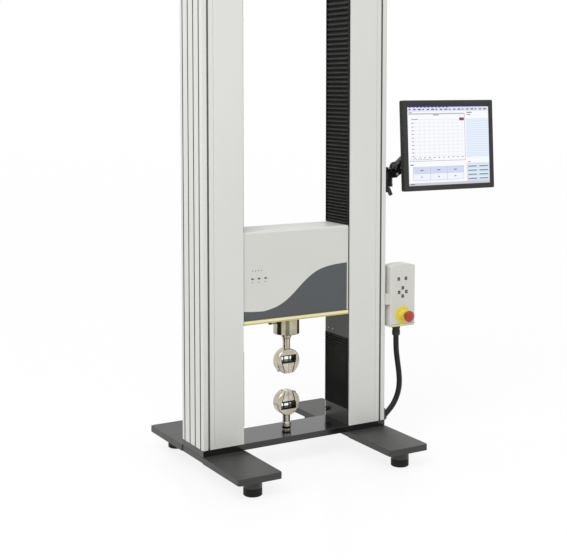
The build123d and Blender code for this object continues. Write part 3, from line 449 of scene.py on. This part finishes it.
jawSteel = machinedSteel("jawSteel", (176, 168, 150), (236, 230, 214), 0.30)
boltSteel = machinedSteel("boltSteel", (160, 160, 158), (198, 198, 196), 0.28)
pusherSteel = machinedSteel("pusherSteel", (44, 42, 38), (62, 60, 55), 0.34)
zinc = mouldedPlastic("zincPlate", (182, 183, 180), (204, 205, 202), 0.3, 900, 0.00001, {"Metallic": 0.25})
innerSteel = machinedSteel("innerSteel", (140, 140, 138), (172, 171, 168), 0.36)
castIron = machinedSteel("castBeam", (70, 70, 70), (92, 92, 92), 0.5, 500)
motorCase = machinedSteel("motorCase", (40, 40, 42), (56, 56, 58), 0.45, 300)
threadFinish = screwThread()
padRubber = rubber("padRubber", (8, 8, 7), (14, 14, 13))
beltRubber = rubber("beltRubber", (22, 22, 22), (32, 32, 32))
handsetPlastic = mouldedPlastic("handsetPlastic", (213, 212, 205), (219, 218, 211), 0.42)
keyPlastic = mouldedPlastic("keyPlastic", (50, 50, 52), (62, 62, 64), 0.45)
legendInk = mouldedPlastic("legendInk", (170, 170, 168), (188, 188, 186), 0.5)
printInk = mouldedPlastic("printedInk", (58, 60, 62), (72, 74, 76), 0.5)
stopRed = mouldedPlastic("stopRed", (160, 38, 20), (174, 46, 26), 0.28, 900, 0.00001, {"Coat Weight": 0.3})
discYellow = mouldedPlastic("discYellow", (224, 206, 66), (232, 215, 80), 0.4)
cablePlastic = mouldedPlastic("cableJacket", (8, 8, 7), (13, 13, 12), 0.34, 500, 0.00003,
                              {"Specular IOR Level": 0.35})
glandPlastic = mouldedPlastic("glandPlastic", (15, 15, 14), (22, 22, 21), 0.42)
bezelPlastic = mouldedPlastic("bezelPlastic", (26, 27, 25), (33, 34, 32), 0.48)
lampLens = mouldedPlastic("lampLens", (96, 100, 98), (112, 116, 114), 0.2)
print("finishes made")

finishes = [
    (columnFinish, ["column_left", "column_right", "column_covers"]),
    (frontFinish, ["crosshead_front_cover"]),
    (lightPaint, ["crosshead_rear_cover"]),
    (housingPaint, ["top_housing"]),
    (footPaint, ["foot_plates", "foot_collars"]),
    (glossPaint, ["base_plate", "top_plate"]),
    (sidePaint, ["crosshead_side_plates"]),
    (panelPaint, ["bellows_feet"]),
    (armPaint, ["arm_bracket", "arm_swivel", "arm_link", "arm_head", "monitor_mount"]),
    (upperGripSteel, ["upper_grip_body"]),
    (lowerGripSteel, ["lower_grip_body"]),
    (cellSteel, ["load_cell"]),
    (seatSteel(), ["lower_grip_seat"]),
    (jawSteel, ["upper_jaw_left", "upper_jaw_right", "lower_jaw_left", "lower_jaw_right"]),
    (boltSteel, ["stop_plunger"]),
    (pusherSteel, ["upper_grip_pusher", "lower_grip_pusher"]),
    (innerSteel, ["ball_nuts", "guide_rails", "guide_carriages", "screw_bearings", "motor_pulley"]),
    (threadFinish, ["ball_screw_left", "ball_screw_right"]),
    (castIron, ["crosshead_beam"]),
    (motorCase, ["drive_motor"]),
    (beltRubber, ["timing_belts"]),
    (padRubber, [n for n in nodes if n.startswith("levelling_pad")]),
    (handsetPlastic, ["handset_shell"]),
    (keyPlastic, [n for n in nodes if n.startswith("key_")] + ["power_inlet"]),
    (glandPlastic, ["clamp_lever"]),
    (stopRed, ["stop_head"]),
    (bezelPlastic, ["monitor_shell"]),
    (glow("screenGlass", (246, 247, 250)), ["monitor_screen"]),
]
for paint, names in finishes:
    for name in names:
        nodes[name].material_slots[0].material = paint.material
print("parts painted")


def piece(bm, name, body, paint, crease=35):
    # a finished mesh that rides on a body of the machine, or on none where no body is given
    bmesh.ops.remove_doubles(bm, verts=bm.verts, dist=1e-6)
    bmesh.ops.recalc_face_normals(bm, faces=bm.faces)
    mesh = bpy.data.meshes.new(name)
    bm.to_mesh(mesh)
    bm.free()
    made = bpy.data.objects.new(name, mesh)
    bpy.context.scene.collection.objects.link(made)
    mesh.materials.append(paint.material)
    mesh.shade_smooth()
    mesh.set_sharp_from_angle(angle=math.radians(crease))
    if body:
        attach(made, body)
    return made


def facing(point, normal):
    # a matrix that sets Z along a normal at a point
    return Matrix.Translation(point) @ Vector(normal).to_track_quat("Z", "Y").to_matrix().to_4x4()


def rounded(bm, edges, offset, segments=2):
    bmesh.ops.bevel(bm, geom=list(edges), offset=offset, segments=segments, profile=0.5, affect="EDGES",
                    material=-1)


def vertsOf(grown):
    # the vertices among what an extrusion has made
    return [v for v in grown["geom"] if isinstance(v, bmesh.types.BMVert)]


def thicken(bm, face, along):
    # a flat face drawn out along a vector
    top = vertsOf(bmesh.ops.extrude_face_region(bm, geom=[face]))
    bmesh.ops.translate(bm, vec=along, verts=top)
    return top


def block(bm, low, high, edge=0.0, turn=None):
    # a box between two corners, with rounded edges
    low, high = Vector(low), Vector(high)
    grow = Matrix.Translation((low + high) / 2) @ Matrix.Diagonal((*(high - low), 1))
    made = bmesh.ops.create_cube(bm, size=1, matrix=(turn or Matrix()) @ grow)
    if edge:
        rounded(bm, {e for v in made["verts"] for e in v.link_edges}, edge)


def lathe(bm, outline, place=None, steps=48):
    # (radius, height) pairs turned once round Z, then put in place
    corners = [bm.verts.new((r, 0, h)) for r, h in outline]
    sides = [bm.edges.new(pair) for pair in zip(corners, corners[1:])]
    bmesh.ops.spin(bm, geom=corners + sides, cent=(0, 0, 0), axis=(0, 0, 1), angle=2 * math.pi,
                   steps=steps, use_merge=True, use_duplicate=False)
    bmesh.ops.remove_doubles(bm, verts=bm.verts, dist=1e-6)
    if place:
        mine = [v for v in bm.verts if not v.tag]
        bmesh.ops.transform(bm, matrix=place, verts=mine)
    for v in bm.verts:
        v.tag = True


def prism(bm, outline, depth, place):
    # a flat outline in X and Y given a thickness along Z, then put in place
    face = bm.faces.new([bm.verts.new((x, y, 0)) for x, y in outline])
    top = thicken(bm, face, (0, 0, depth))
    bmesh.ops.transform(bm, matrix=place, verts=top + list(face.verts))


screwHead = {"steps": 20, "socket": 0.5, "deep": 0.6}       # the socket, as shares of radius and height


def socketScrew(bm, place, radius, height):
    # a cap screw with a hexagon socket, its head standing along Z
    rim = bmesh.ops.create_circle(bm, segments=screwHead["steps"], radius=radius)["verts"]
    hexagon = bmesh.ops.create_circle(bm, segments=6, radius=radius * screwHead["socket"])["verts"]
    bmesh.ops.bridge_loops(bm, edges=list({e for v in rim + hexagon for e in v.link_edges}))
    outer = list({e for v in rim for e in v.link_edges if e.other_vert(v) in rim})
    inner = list({e for v in hexagon for e in v.link_edges if e.other_vert(v) in hexagon})
    bmesh.ops.translate(bm, vec=(0, 0, height), verts=rim + hexagon)
    skirt = vertsOf(bmesh.ops.extrude_edge_only(bm, edges=outer))
    well = vertsOf(bmesh.ops.extrude_edge_only(bm, edges=inner))
    bmesh.ops.translate(bm, vec=(0, 0, -height), verts=skirt)
    bmesh.ops.translate(bm, vec=(0, 0, -height * screwHead["deep"]), verts=well)
    bm.faces.new(well)
    bmesh.ops.contextual_create(bm, geom=skirt)
    bmesh.ops.transform(bm, matrix=place, verts=rim + hexagon + skirt + well)


def easing(share):
    # where a smooth step reaches a share
    return 0.5 - math.sin(math.asin(1 - 2 * share) / 3)


def bellows(node, pleats, lowShare, fixedAtTop):
    low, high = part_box(node)
    side = 1 if low.x > 0 else -1
    ridge, valley = (low.x, high.x) if side > 0 else (high.x, low.x)
    reach = cloth["thick"] * side
    rows = [i / (2 * pleats) for i in range(2 * pleats + 1)]
    heights = [low.z + (high.z - low.z) * (lowShare * u + (1 - lowShare) * u * u) for u in rows]

    def moved(z):
        # how far a height goes with the crosshead
        share = (z - low.z) / (high.z - low.z)
        return 1 - share if fixedAtTop else share

    def nearest(share):
        # the pleat that moves most nearly by this share
        return min(range(pleats + 1), key=lambda k: abs(moved(heights[2 * k]) - share))

    cuts = sorted({nearest(share) for share in cloth["splits"]})
    for number, (first, last) in enumerate(zip(cuts, cuts[1:])):
        count = 2 * (last - first)
        bm = bmesh.new()
        bmesh.ops.create_grid(bm, x_segments=count, y_segments=4, size=0.5)
        for v in bm.verts:
            row = round((v.co.x + 0.5) * count)
            x = ridge + reach if row % 2 else valley - reach
            v.co = (x, v.co.y * (high.y - low.y), heights[2 * first + row])
        level = [e for e in bm.edges if abs(e.verts[0].co.z - e.verts[1].co.z) < 1e-7]
        rounded(bm, [e for e in level if len(e.link_faces) == 2], cloth["fold"])
        bmesh.ops.recalc_face_normals(bm, faces=bm.faces)
        bmesh.ops.solidify(bm, geom=list(bm.faces), thickness=cloth["thick"])
        inner, outer = sorted((ridge + 1.5 * reach, valley - reach))
        for hem in (low.y + cloth["hem"], high.y - cloth["hem"]):       # a tape closes the pleats' ends
            block(bm, (inner, hem - cloth["tape"], heights[2 * first]),
                  (outer, hem + cloth["tape"], heights[2 * last]))
        made = piece(bm, f"{node}_pleats_{number}", None, clothFinish, 60)
        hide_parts(node)
        ends = [(moved(heights[2 * k]), heights[2 * k]) for k in (first, last)]
        (shareA, zA), (shareB, zB) = sorted(ends)
        uA, uB = easing(shareA), easing(shareB)
        pace = (zB - zA) / (uB - uA)
        start = zA - uA * pace
        start + pace
        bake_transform(made)


for side in ("left", "right"):
    bellows(f"bellows_upper_{side}", cloth["upperPleats"], cloth["upperShare"], True)
    bellows(f"bellows_lower_{side}", cloth["lowerPleats"], cloth["lowerShare"], False)
print("bellows made")


def moulding(name, ends, y, heights, body):
    # a grooved strip along X on a front face
    bm = bmesh.new()
    low, high = heights
    outline = [(y - trim["proud"] * out, low + (high - low) * up) for out, up in trim["outline"]]
    face = bm.faces.new([bm.verts.new((ends[0], a, b)) for a, b in outline])
    thicken(bm, face, (ends[1] - ends[0], 0, 0))
    piece(bm, name, body, goldTrimPaint(name + "_anodised", low, high), 20)


coverLow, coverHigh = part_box("crosshead_front_cover")
moulding("crosshead_gold_strip", (coverLow.x, coverHigh.x), coverLow.y,
         (coverLow.z, coverLow.z + trim["tall"]), "crosshead")

lamps = {
    "x": -0.1645,
    "step": 0.0105,
    "count": 4,
    "z": 0.6440,
    "lens": ((0, 0.0009), (0.001, 0.0008), (0.0017, 0.0002), (0.0017, 0), (0, 0)),      # radius and height
    "face": 0.001,         # how far the face lies behind the cover's foremost edge
}
legends = {
    "x": (-0.1650, -0.1415, -0.1175),
    "z": 0.6185,
    "half": 0.0002,        # half an ink's thickness
    # a small sign and two lines: left and low corner, width and height
    "marks": ((-0.0045, -0.0026, 0.0075, 0.0052), (0.0046, -0.0012, 0.0040, 0.0012),
              (-0.0050, -0.0118, 0.0085, 0.0012)),
}
faceY = coverLow.y + lamps["face"]
bm = bmesh.new()
for i in range(lamps["count"]):
    lathe(bm, lamps["lens"], facing((lamps["x"] + i * lamps["step"], faceY, lamps["z"]), (0, -1, 0)), 16)
piece(bm, "indicator_lamps", "crosshead", lampLens)
bm = bmesh.new()
for x in legends["x"]:
    for left, low, wide, tall in legends["marks"]:
        block(bm, (x + left, faceY - legends["half"], legends["z"] + low),
              (x + left + wide, faceY + legends["half"], legends["z"] + low + tall))
piece(bm, "indicator_legends", "crosshead", printInk)
print("crosshead trimmed")

handset = {
    "face": -0.090,
    "gold": (0.4122, 0.4195),         # heights of the gold strip, and its ends in X
    "goldEnds": (0.3585, 0.4545),
    "stop": (0.405, 0.4515),          # x and z of the stop
    "boss": (0.0151, 0.0212),         # radius, and how far it stands out of the face
    "bore": 0.0093,                   # the hole in the collar's end
    "skin": 0.0002,                   # how thick the collar is over the boss's end
    "disc": (0.030, 0.0285),          # radius of the disc, and of its flat top
    "discTall": (0.0010, 0.0016),     # height of its rim, and of its top
    "glyph": 0.0030,
    "glyphStep": 1.1,                 # from one mark of a pair to the next, in glyphs
    "pairShrink": 0.4,
    "ink": 0.0002,
}
moulding("handset_gold_strip", handset["goldEnds"], handset["face"], handset["gold"], "frame")
bossR, bossTip = handset["boss"]
discR, topR = handset["disc"]
rimTall, topTall = handset["discTall"]
under = bossTip - handset["skin"]
collar = [
    (bossR, 0), (bossR, under), (handset["bore"], under), (handset["bore"], bossTip), (bossR, bossTip),
    (bossR + 0.0006, bossTip - 0.0004), (bossR + 0.0008, topTall + 0.0006), (bossR + 0.0016, topTall),
    (topR, topTall), (discR, rimTall), (discR, 0), (bossR, 0),
]
bm = bmesh.new()
lathe(bm, collar, facing((handset["stop"][0], handset["face"], handset["stop"][1]), (0, -1, 0)), 64)
piece(bm, "stop_disc", "frame", discYellow)

arrow = [(-1, -0.8), (1, -0.8), (0, 0.9)]
square = [(-0.8, -0.8), (0.8, -0.8), (0.8, 0.8), (-0.8, 0.8)]
glyphs = {       # outline, quarter turns, and how many one over the other
    "key_up_fast": (arrow, 0, 2),
    "key_down_fast": (arrow, 2, 2),
    "key_raise": (arrow, 0, 1),
    "key_lower": (arrow, 2, 1),
    "key_start": (arrow, 3, 1),
    "key_halt": (square, 0, 1),
}
for node, (outline, turns, count) in glyphs.items():
    low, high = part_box(node)
    centre = (low + high) / 2
    size = handset["glyph"] / (1 + count * handset["pairShrink"])
    turned = Matrix.Rotation(math.radians(90), 4, "X") @ Matrix.Rotation(turns * math.pi / 2, 4, "Z")
    bm = bmesh.new()
    for i in range(count):
        up = (i - (count - 1) / 2) * handset["glyph"] * handset["glyphStep"]
        spot = Matrix.Translation((centre.x, low.y - handset["ink"] / 2, centre.z + up))
        prism(bm, outline, -handset["ink"] / size, spot @ turned @ Matrix.Scale(size, 4))
    piece(bm, node + "_mark", node, legendInk)
print("handset dressed")

cable = {
    "radius": 0.0095,
    "length": 0.2982,
    "route": [
        (0.3964, -0.066, 0.3774), (0.3964, -0.066, 0.3339), (0.4035, -0.065, 0.2894),
        (0.4117, -0.064, 0.2450), (0.4150, -0.063, 0.2075), (0.4103, -0.062, 0.1752),
        (0.3975, -0.061, 0.1453), (0.3774, -0.060, 0.1197), (0.3536, -0.060, 0.1018),
    ],
}
curve = bpy.data.curves.new("handset_lead", "CURVE")
curve.dimensions = "3D"
spline = curve.splines.new("NURBS")
spline.points.add(len(cable["route"]) - 1)
for point, place in zip(spline.points, cable["route"]):
    point.co = (*place, 1)
spline.order_u = 3
spline.use_endpoint_u = True
spline.resolution_u = 12
curve.bevel_depth = cable["radius"]
curve.bevel_resolution = 8
curve.use_fill_caps = True
lead = bpy.data.objects.new("handset_lead", curve)
bpy.context.scene.collection.objects.link(lead)
curve.materials.append(cablePlastic.material)
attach(lead, "frame")
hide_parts("handset_cable")

topEnd, footEnd = cable["route"][0], cable["route"][-1]
gland = {
    "bore": 0.0094,
    "tall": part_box("handset_shell")[0].z - topEnd[2],
    # the upper gland's nut and neck, then the lower one, as radius and height
    "nut": ((0.0118, 0), (0.0132, 0.0016), (0.0138, 0.005), (0.0138, 0.018), (0.0122, 0.0195),
            (0.0122, 0.0225), (0.014, 0.0235)),
    "foot": ((0.0118, 0), (0.013, 0.002), (0.013, 0.024)),
    "plate": ((-0.076, 0.093), (-0.044, 0.131)),      # y and z of the wall plate's corners
    "plateThick": 0.0034,
}
nutTop = [(gland["nut"][-1][0], gland["tall"]), (gland["bore"], gland["tall"])]
footTop = [(gland["bore"], gland["foot"][-1][1])]
mouth = [(gland["bore"], 0)]
bm = bmesh.new()
lathe(bm, mouth + list(gland["nut"]) + nutTop + mouth, Matrix.Translation(topEnd))
last = (Vector(footEnd) - Vector(cable["route"][-2])).normalized()
lathe(bm, mouth + list(gland["foot"]) + footTop + mouth, facing(footEnd, last))
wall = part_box("column_right")[1].x
bmesh.ops.bisect_plane(bm, geom=list(bm.verts) + list(bm.edges) + list(bm.faces), plane_co=(wall, 0, 0),
                       plane_no=(1, 0, 0), clear_inner=True)
block(bm, (wall, *gland["plate"][0]), (wall + gland["plateThick"], *gland["plate"][1]), 0.001)
glands = piece(bm, "lead_glands", "frame", glandPlastic)
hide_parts("cable_glands")
print("cable laid")

grips = {
    "upper": {"sign": 1, "body": "crosshead"},
    "lower": {"sign": -1, "body": "frame"},
    # x from the axis and height from the middle, towards the shank
    "screws": ((0.033, 0.008), (0.034, -0.002), (0.032, -0.012), (-0.033, 0.006), (-0.032, -0.012)),
    "screw": (0.0021, 0.0008),       # radius and height of a head
    "face": 0.016,
}
for level in ("upper", "lower"):
    grip = grips[level]
    bm = bmesh.new()
    for x, h in grips["screws"]:
        for end in (-1, 1):
            spot = (x, end * grips["face"], gripHeights[level] + grip["sign"] * h)
            socketScrew(bm, facing(spot, (0, end, 0)), *grips["screw"])
    piece(bm, f"{level}_grip_screws", grip["body"], boltSteel)

cellSocket = {       # the cable socket on the load cell
    "z": 0.457,
    "ring": ((0.0062, -0.001), (0.0062, 0.005), (0.0076, 0.005), (0.0084, 0.0042), (0.0084, -0.001)),
}
bm = bmesh.new()
lathe(bm, cellSocket["ring"], facing((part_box("load_cell")[0].x, 0, cellSocket["z"]), (-1, 0, 0)), 32)
piece(bm, "cell_socket_ring", "crosshead", glandPlastic)
print("grips detailed")

display = {
    "centre": Vector((0.5820055, -0.1098745, 1.0278961)),
    "yaw": math.radians(-2.5),
    "tilt": math.radians(3.6),
    "wide": 0.338,
    "tall": 0.2745,
    "layer": 0.00012,       # how far each layer of the picture stands off the glass
}
across = Vector((math.cos(display["yaw"]), math.sin(display["yaw"]), 0))
outward = Vector((math.sin(display["yaw"]), -math.cos(display["yaw"]), 0)) * math.cos(display["tilt"])
outward += Vector((0, 0, math.sin(display["tilt"])))
upward = outward.cross(across)
onScreen = Matrix((across, upward, outward)).transposed().to_4x4()
onScreen.translation = display["centre"]
inks = {
    "navy": (6, 4, 66),
    "bar": (222, 222, 244),
    "grey": (176, 178, 186),
    "line": (214, 216, 222),
    "mark": (74, 76, 90),
    "maroon": (112, 52, 62),
    "red": (222, 120, 124),
    "table": (206, 214, 240),
    "cell": (238, 241, 251),
    "rows": (228, 237, 249),
    "rule": (194, 208, 232),
    "blue": (206, 222, 234),
    "figures": (104, 122, 148),
    "status": (200, 202, 210),
}
patches = {name: [] for name in inks}


def patch(ink, left, top, right, bottom, level=1):
    # a patch of the picture, from the top left corner, in shares of the screen
    patches[ink].append((left, top, right, bottom, level))


# the title bar, the menu and the tools
patch("navy", 0, 0, 1, 0.033)
patch("bar", 0, 0.033, 1, 0.088)
for i in range(11):
    patch("mark", 0.02 + i * 0.045, 0.034, 0.045 + i * 0.045, 0.041, 2)
for i in range(18):
    patch("mark", 0.02 + i * 0.054, 0.056, 0.040 + i * 0.054 + 0.008 * (i % 3), 0.070, 2)
patch("mark", 0.02, 0.096, 0.055, 0.103)
# the chart's frame, its ruled field and its small captions
patch("grey", 0.012, 0.110, 0.700, 0.124)
patch("mark", 0.31, 0.128, 0.38, 0.137)
patch("grey", 0.695, 0.124, 0.700, 0.702)
patch("red", 0.694, 0.124, 0.697, 0.200, 2)
patch("grey", 0.012, 0.696, 0.700, 0.703)
chart = {"left": 0.085, "right": 0.665, "top": 0.185, "bottom": 0.640, "cells": 10}
for i in range(chart["cells"] + 1):
    x = chart["left"] + (chart["right"] - chart["left"]) * i / chart["cells"]
    y = chart["top"] + (chart["bottom"] - chart["top"]) * i / chart["cells"]
    patch("line", x - 0.0012, chart["top"], x + 0.0012, chart["bottom"])
    patch("line", chart["left"], y - 0.0015, chart["right"], y + 0.0015)
    patch("mark", 0.048, y - 0.004, 0.072, y + 0.004)
    patch("mark", x - 0.010, 0.655, x + 0.010, 0.663)
patch("mark", 0.075, 0.180, 0.125, 0.187, 2)
patch("maroon", 0.632, 0.168, 0.690, 0.204, 2)
for i in range(9):
    patch("mark", 0.03 + i * 0.03, 0.676, 0.045 + i * 0.03, 0.683)
# the table under the chart
patch("mark", 0.022, 0.738, 0.062, 0.750)
for y in (0.770, 0.851, 0.936):
    patch("grey", 0.056, y, 0.675, y + 0.004)
patch("grey", 0.671, 0.770, 0.675, 0.940)
for i in range(3):
    left = 0.060 + i * 0.205
    patch("grey", left - 0.004, 0.770, left, 0.940)
    patch("table", left, 0.775, left + 0.2, 0.850)
    patch("cell", left, 0.856, left + 0.2, 0.935)
    patch("mark", left + 0.08, 0.808, left + 0.118, 0.818, 2)
    patch("mark", left + 0.088, 0.890, left + 0.108, 0.900, 2)
patch("status", 0, 0.968, 1, 1)
patch("mark", 0.02, 0.978, 0.07, 0.988, 2)
# the list and the buttons on the right
patch("rows", 0.712, 0.190, 1, 0.672)
patch("mark", 0.725, 0.100, 0.790, 0.110, 2)
patch("mark", 0.725, 0.128, 0.775, 0.136)
for i in range(17):
    patch("rule", 0.715, 0.185 + i * 0.0285, 1, 0.189 + i * 0.0285, 2)
patch("mark", 0.732, 0.722, 0.760, 0.731, 2)
patch("blue", 0.712, 0.742, 1, 0.968)
for i in range(4):
    for j in range(2):
        left = 0.725 + j * 0.142
        patch("rows", left, 0.758 + i * 0.052, left + 0.128, 0.771 + i * 0.052, 2)
        patch("figures", left + 0.006, 0.776 + i * 0.052, left + 0.112, 0.789 + i * 0.052, 2)
for name, spots in patches.items():
    bm = bmesh.new()
    for left, top, right, bottom, level in spots:
        low = ((left - 0.5) * display["wide"], (0.5 - bottom) * display["tall"], 0)
        high = ((right - 0.5) * display["wide"], (0.5 - top) * display["tall"], level * display["layer"])
        block(bm, low, high, turn=onScreen)
    piece(bm, "picture_" + name, "monitor", glow("glow_" + name, inks[name]))
print("display lit")

arm = {
    "lift": (0.444, 0.947),        # x and z of the two pins
    "level": (0.535, 1.016),
    "cheekBolt": (0.4278, -0.0221, 0.9255),
    "boltR": 0.0048,
    "pinHead": 0.0014,
    "cheekHead": 0.0016,
    "sunk": 0.0002,
}


def pinBolts(bm, node, pin):
    # a bolt head on both ends of a pin
    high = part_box(node)[1]
    for end in (-1, 1):
        spot = (pin[0], end * (high.y - arm["sunk"]), pin[1])
        socketScrew(bm, facing(spot, (0, end, 0)), arm["boltR"], arm["pinHead"])


bm = bmesh.new()
pinBolts(bm, "arm_swivel", arm["lift"])
socketScrew(bm, facing(arm["cheekBolt"], (0, -1, 0)), arm["boltR"], arm["cheekHead"])
piece(bm, "lift_pin_bolts", "arm_swivel", zinc)
bm = bmesh.new()
pinBolts(bm, "arm_head", arm["level"])
piece(bm, "level_pin_bolts", "arm_head", zinc)

link = {       # two round ends joined by straight flanks
    "ends": ((arm["lift"], 0.017), (arm["level"], 0.018)),      # pins and radii of the round ends
    "half": 0.0126,                                             # half its width
    "edge": 0.0018,
    "clip": facing((0.437, 0.0040, 0.961), (0, 1, 0)),          # holds the cables over the lower pivot
    "clipShape": ((0, 0), (0.0036, 0), (0.0042, 0.0006), (0.0042, 0.0074), (0.0036, 0.008), (0, 0.008)),
}
bm = bmesh.new()
for (x, z), radius in link["ends"]:
    bmesh.ops.create_circle(bm, segments=48, radius=radius, matrix=facing((x, link["half"], z), (0, 1, 0)))
bmesh.ops.convex_hull(bm, input=bm.verts, use_existing_faces=False)
loose = [v for v in bm.verts if not v.link_faces]
bmesh.ops.delete(bm, geom=loose, context="VERTS")
bmesh.ops.dissolve_limit(bm, angle_limit=math.radians(1), verts=bm.verts, edges=bm.edges)
flat = bm.faces[:]
for face in flat[1:]:
    bm.faces.remove(face)
thicken(bm, flat[0], (0, -2 * link["half"], 0))
rims = [e for e in bm.edges if abs(e.verts[0].co.y - e.verts[1].co.y) < 1e-6]
rounded(bm, rims, link["edge"], 3)
lathe(bm, link["clipShape"], link["clip"], 24)
made = piece(bm, "link_casting", "arm_link", armPaint)
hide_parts("arm_link")
print("arm bolted")

panels = {       # knobs and screws of the black panels beside the bellows
    "knobAt": (0.055, 0.1205),        # y and z on each foot panel
    "knob": ((0, 0), (0.0045, 0), (0.0045, 0.0030), (0.0075, 0.0036), (0.0075, 0.0092), (0.0065, 0.0102),
             (0, 0.0102)),
    "pinAt": 0.0101,                  # how far the knob's screw stands out of the panel
    "pin": (0.0034, 0.0009),          # radius and height of a head
    "screwsAt": ((0.050, 0.404), (0.024, 0.404)),
    "screw": (0.0022, 0.0008),
    "footX": 0.198,
    "sideX": 0.1975,
}
knobs, pins, screws = bmesh.new(), bmesh.new(), bmesh.new()
for side in (-1, 1):
    spot = facing((side * panels["footX"], *panels["knobAt"]), (-side, 0, 0))
    lathe(knobs, panels["knob"], spot, 20)
    socketScrew(pins, spot @ Matrix.Translation((0, 0, panels["pinAt"])), *panels["pin"])
    for y, z in panels["screwsAt"]:
        socketScrew(screws, facing((side * panels["sideX"], y, z), (-side, 0, 0)), *panels["screw"])
piece(knobs, "foot_panel_knobs", "frame", glandPlastic)
piece(pins, "foot_panel_screws", "frame", boltSteel)
piece(screws, "side_panel_screws", "crosshead", boltSteel)
print("panels fastened")

studio = {
    "world": 0.75,
    "sun": 0.64,
    "sunTurn": (math.radians(42), 0, math.radians(-48)),
    "sunAngle": math.radians(50),
    "floor": 60.0,            # its width
    "floorShare": 0.84,       # how much of the seen floor is plain white
    "floorTone": (0.82, 0.82, 0.82, 1),
    "bank": 25.0,             # a wide lamp over the left front
    "bankPlace": Vector((-1.9, -1.4, 2.9)),
    "bankAim": Vector((0.05, 0, 1.5)),
    "bankSize": 1.6,
    "flagAway": 1.5,          # a grey board for the polished steel
    "flagTurn": math.radians(250.8),
    "flagWide": 0.95,
    "flagTall": 2.6,
}
white = (1, 1, 1, 1)


def backdrop(name, place, paint):
    # a flat sheet of the studio, one metre square before it is placed
    bm = bmesh.new()
    bmesh.ops.create_grid(bm, x_segments=1, y_segments=1, size=0.5, matrix=place)
    mesh = bpy.data.meshes.new(name)
    bm.to_mesh(mesh)
    bm.free()
    made = bpy.data.objects.new(name, mesh)
    bpy.context.scene.collection.objects.link(made)
    mesh.materials.append(paint.material)
    return made


floorPaint = Paint("studioFloor", {"Specular IOR Level": 0.12})
floorPaint.rough(floorPaint.noise(3, 2) * 0.02 + 0.16)
seen = floorPaint.plainRays()
floorPaint.colour(floorPaint.mix(seen, studio["floorTone"], white))
paper = floorPaint.node("Emission", {}, {"Color": white, "Strength": 1.0})
lit = Wire(floorPaint.tree, floorPaint.shader.outputs[0])
ground = floorPaint.node("MixShader", {}, {0: seen * studio["floorShare"], 1: lit, 2: paper})
floorPaint.feed(floorPaint.tree.nodes["Material Output"].inputs["Surface"], ground)
backdrop("floor", Matrix.Diagonal((studio["floor"], studio["floor"], 1, 1)), floorPaint)

world = bpy.data.worlds.new("studio")
bpy.context.scene.world = world
world.use_nodes = True
sky = Wiring(world.node_tree)
back = sky.tree.nodes["Background"]
back.inputs["Color"].default_value = white
sky.feed(back.inputs["Strength"], sky.plainRays() * (1 - studio["world"]) + studio["world"])

key = bpy.data.lights.new("key", "SUN")
key.energy = studio["sun"]
key.angle = studio["sunAngle"]
sun = bpy.data.objects.new("key", key)
sun.rotation_euler = studio["sunTurn"]
bpy.context.scene.collection.objects.link(sun)

bank = bpy.data.lights.new("bank", "AREA")
bank.energy = studio["bank"]
bank.size = studio["bankSize"]
overhead = bpy.data.objects.new("bank", bank)
overhead.location = studio["bankPlace"]
overhead.rotation_euler = (studio["bankAim"] - studio["bankPlace"]).to_track_quat("-Z", "Y").to_euler()
bpy.context.scene.collection.objects.link(overhead)

# the grey board shows only in reflections
board = Paint("greyBoard", {"Base Color": (0, 0, 0, 1), "Emission Strength": 1.0, "Specular IOR Level": 0.0})
greys = board.shade(board.noise(2), (0.36, 0.37, 0.35, 1), (0.44, 0.45, 0.43, 1))
board.feed(board.shader.inputs["Emission Color"], greys)
toward = Vector((math.cos(studio["flagTurn"]), math.sin(studio["flagTurn"]), 0))
middle = toward * studio["flagAway"] + Vector((0, 0, studio["flagTall"] / 2))
shape = Matrix.Diagonal((studio["flagWide"], studio["flagTall"], 1, 1))
flag = backdrop("flag", facing(middle, -toward) @ shape, board)
for ray in ("camera", "diffuse", "transmission", "volume_scatter", "shadow"):
    setattr(flag, "visible_" + ray, False)

view = {
    "place": (-1.9092, -3.2646, 1.2322),
    "down": math.radians(4.70),
    "turn": math.radians(-30.18),
    "lens": 73.82,
    "shift": -0.1764,
}
lens = bpy.data.cameras.new("viewCamera")
lens.sensor_width = 36
lens.lens = view["lens"]
lens.shift_y = view["shift"]
lens.clip_end = 100
camera = bpy.data.objects.new("viewCamera", lens)
camera.location = view["place"]
camera.rotation_euler = (math.radians(90) - view["down"], 0, view["turn"])
bpy.context.scene.collection.objects.link(camera)
bpy.context.scene.camera = camera
bpy.context.scene.view_settings.view_transform = "Standard"
print("studio lit")
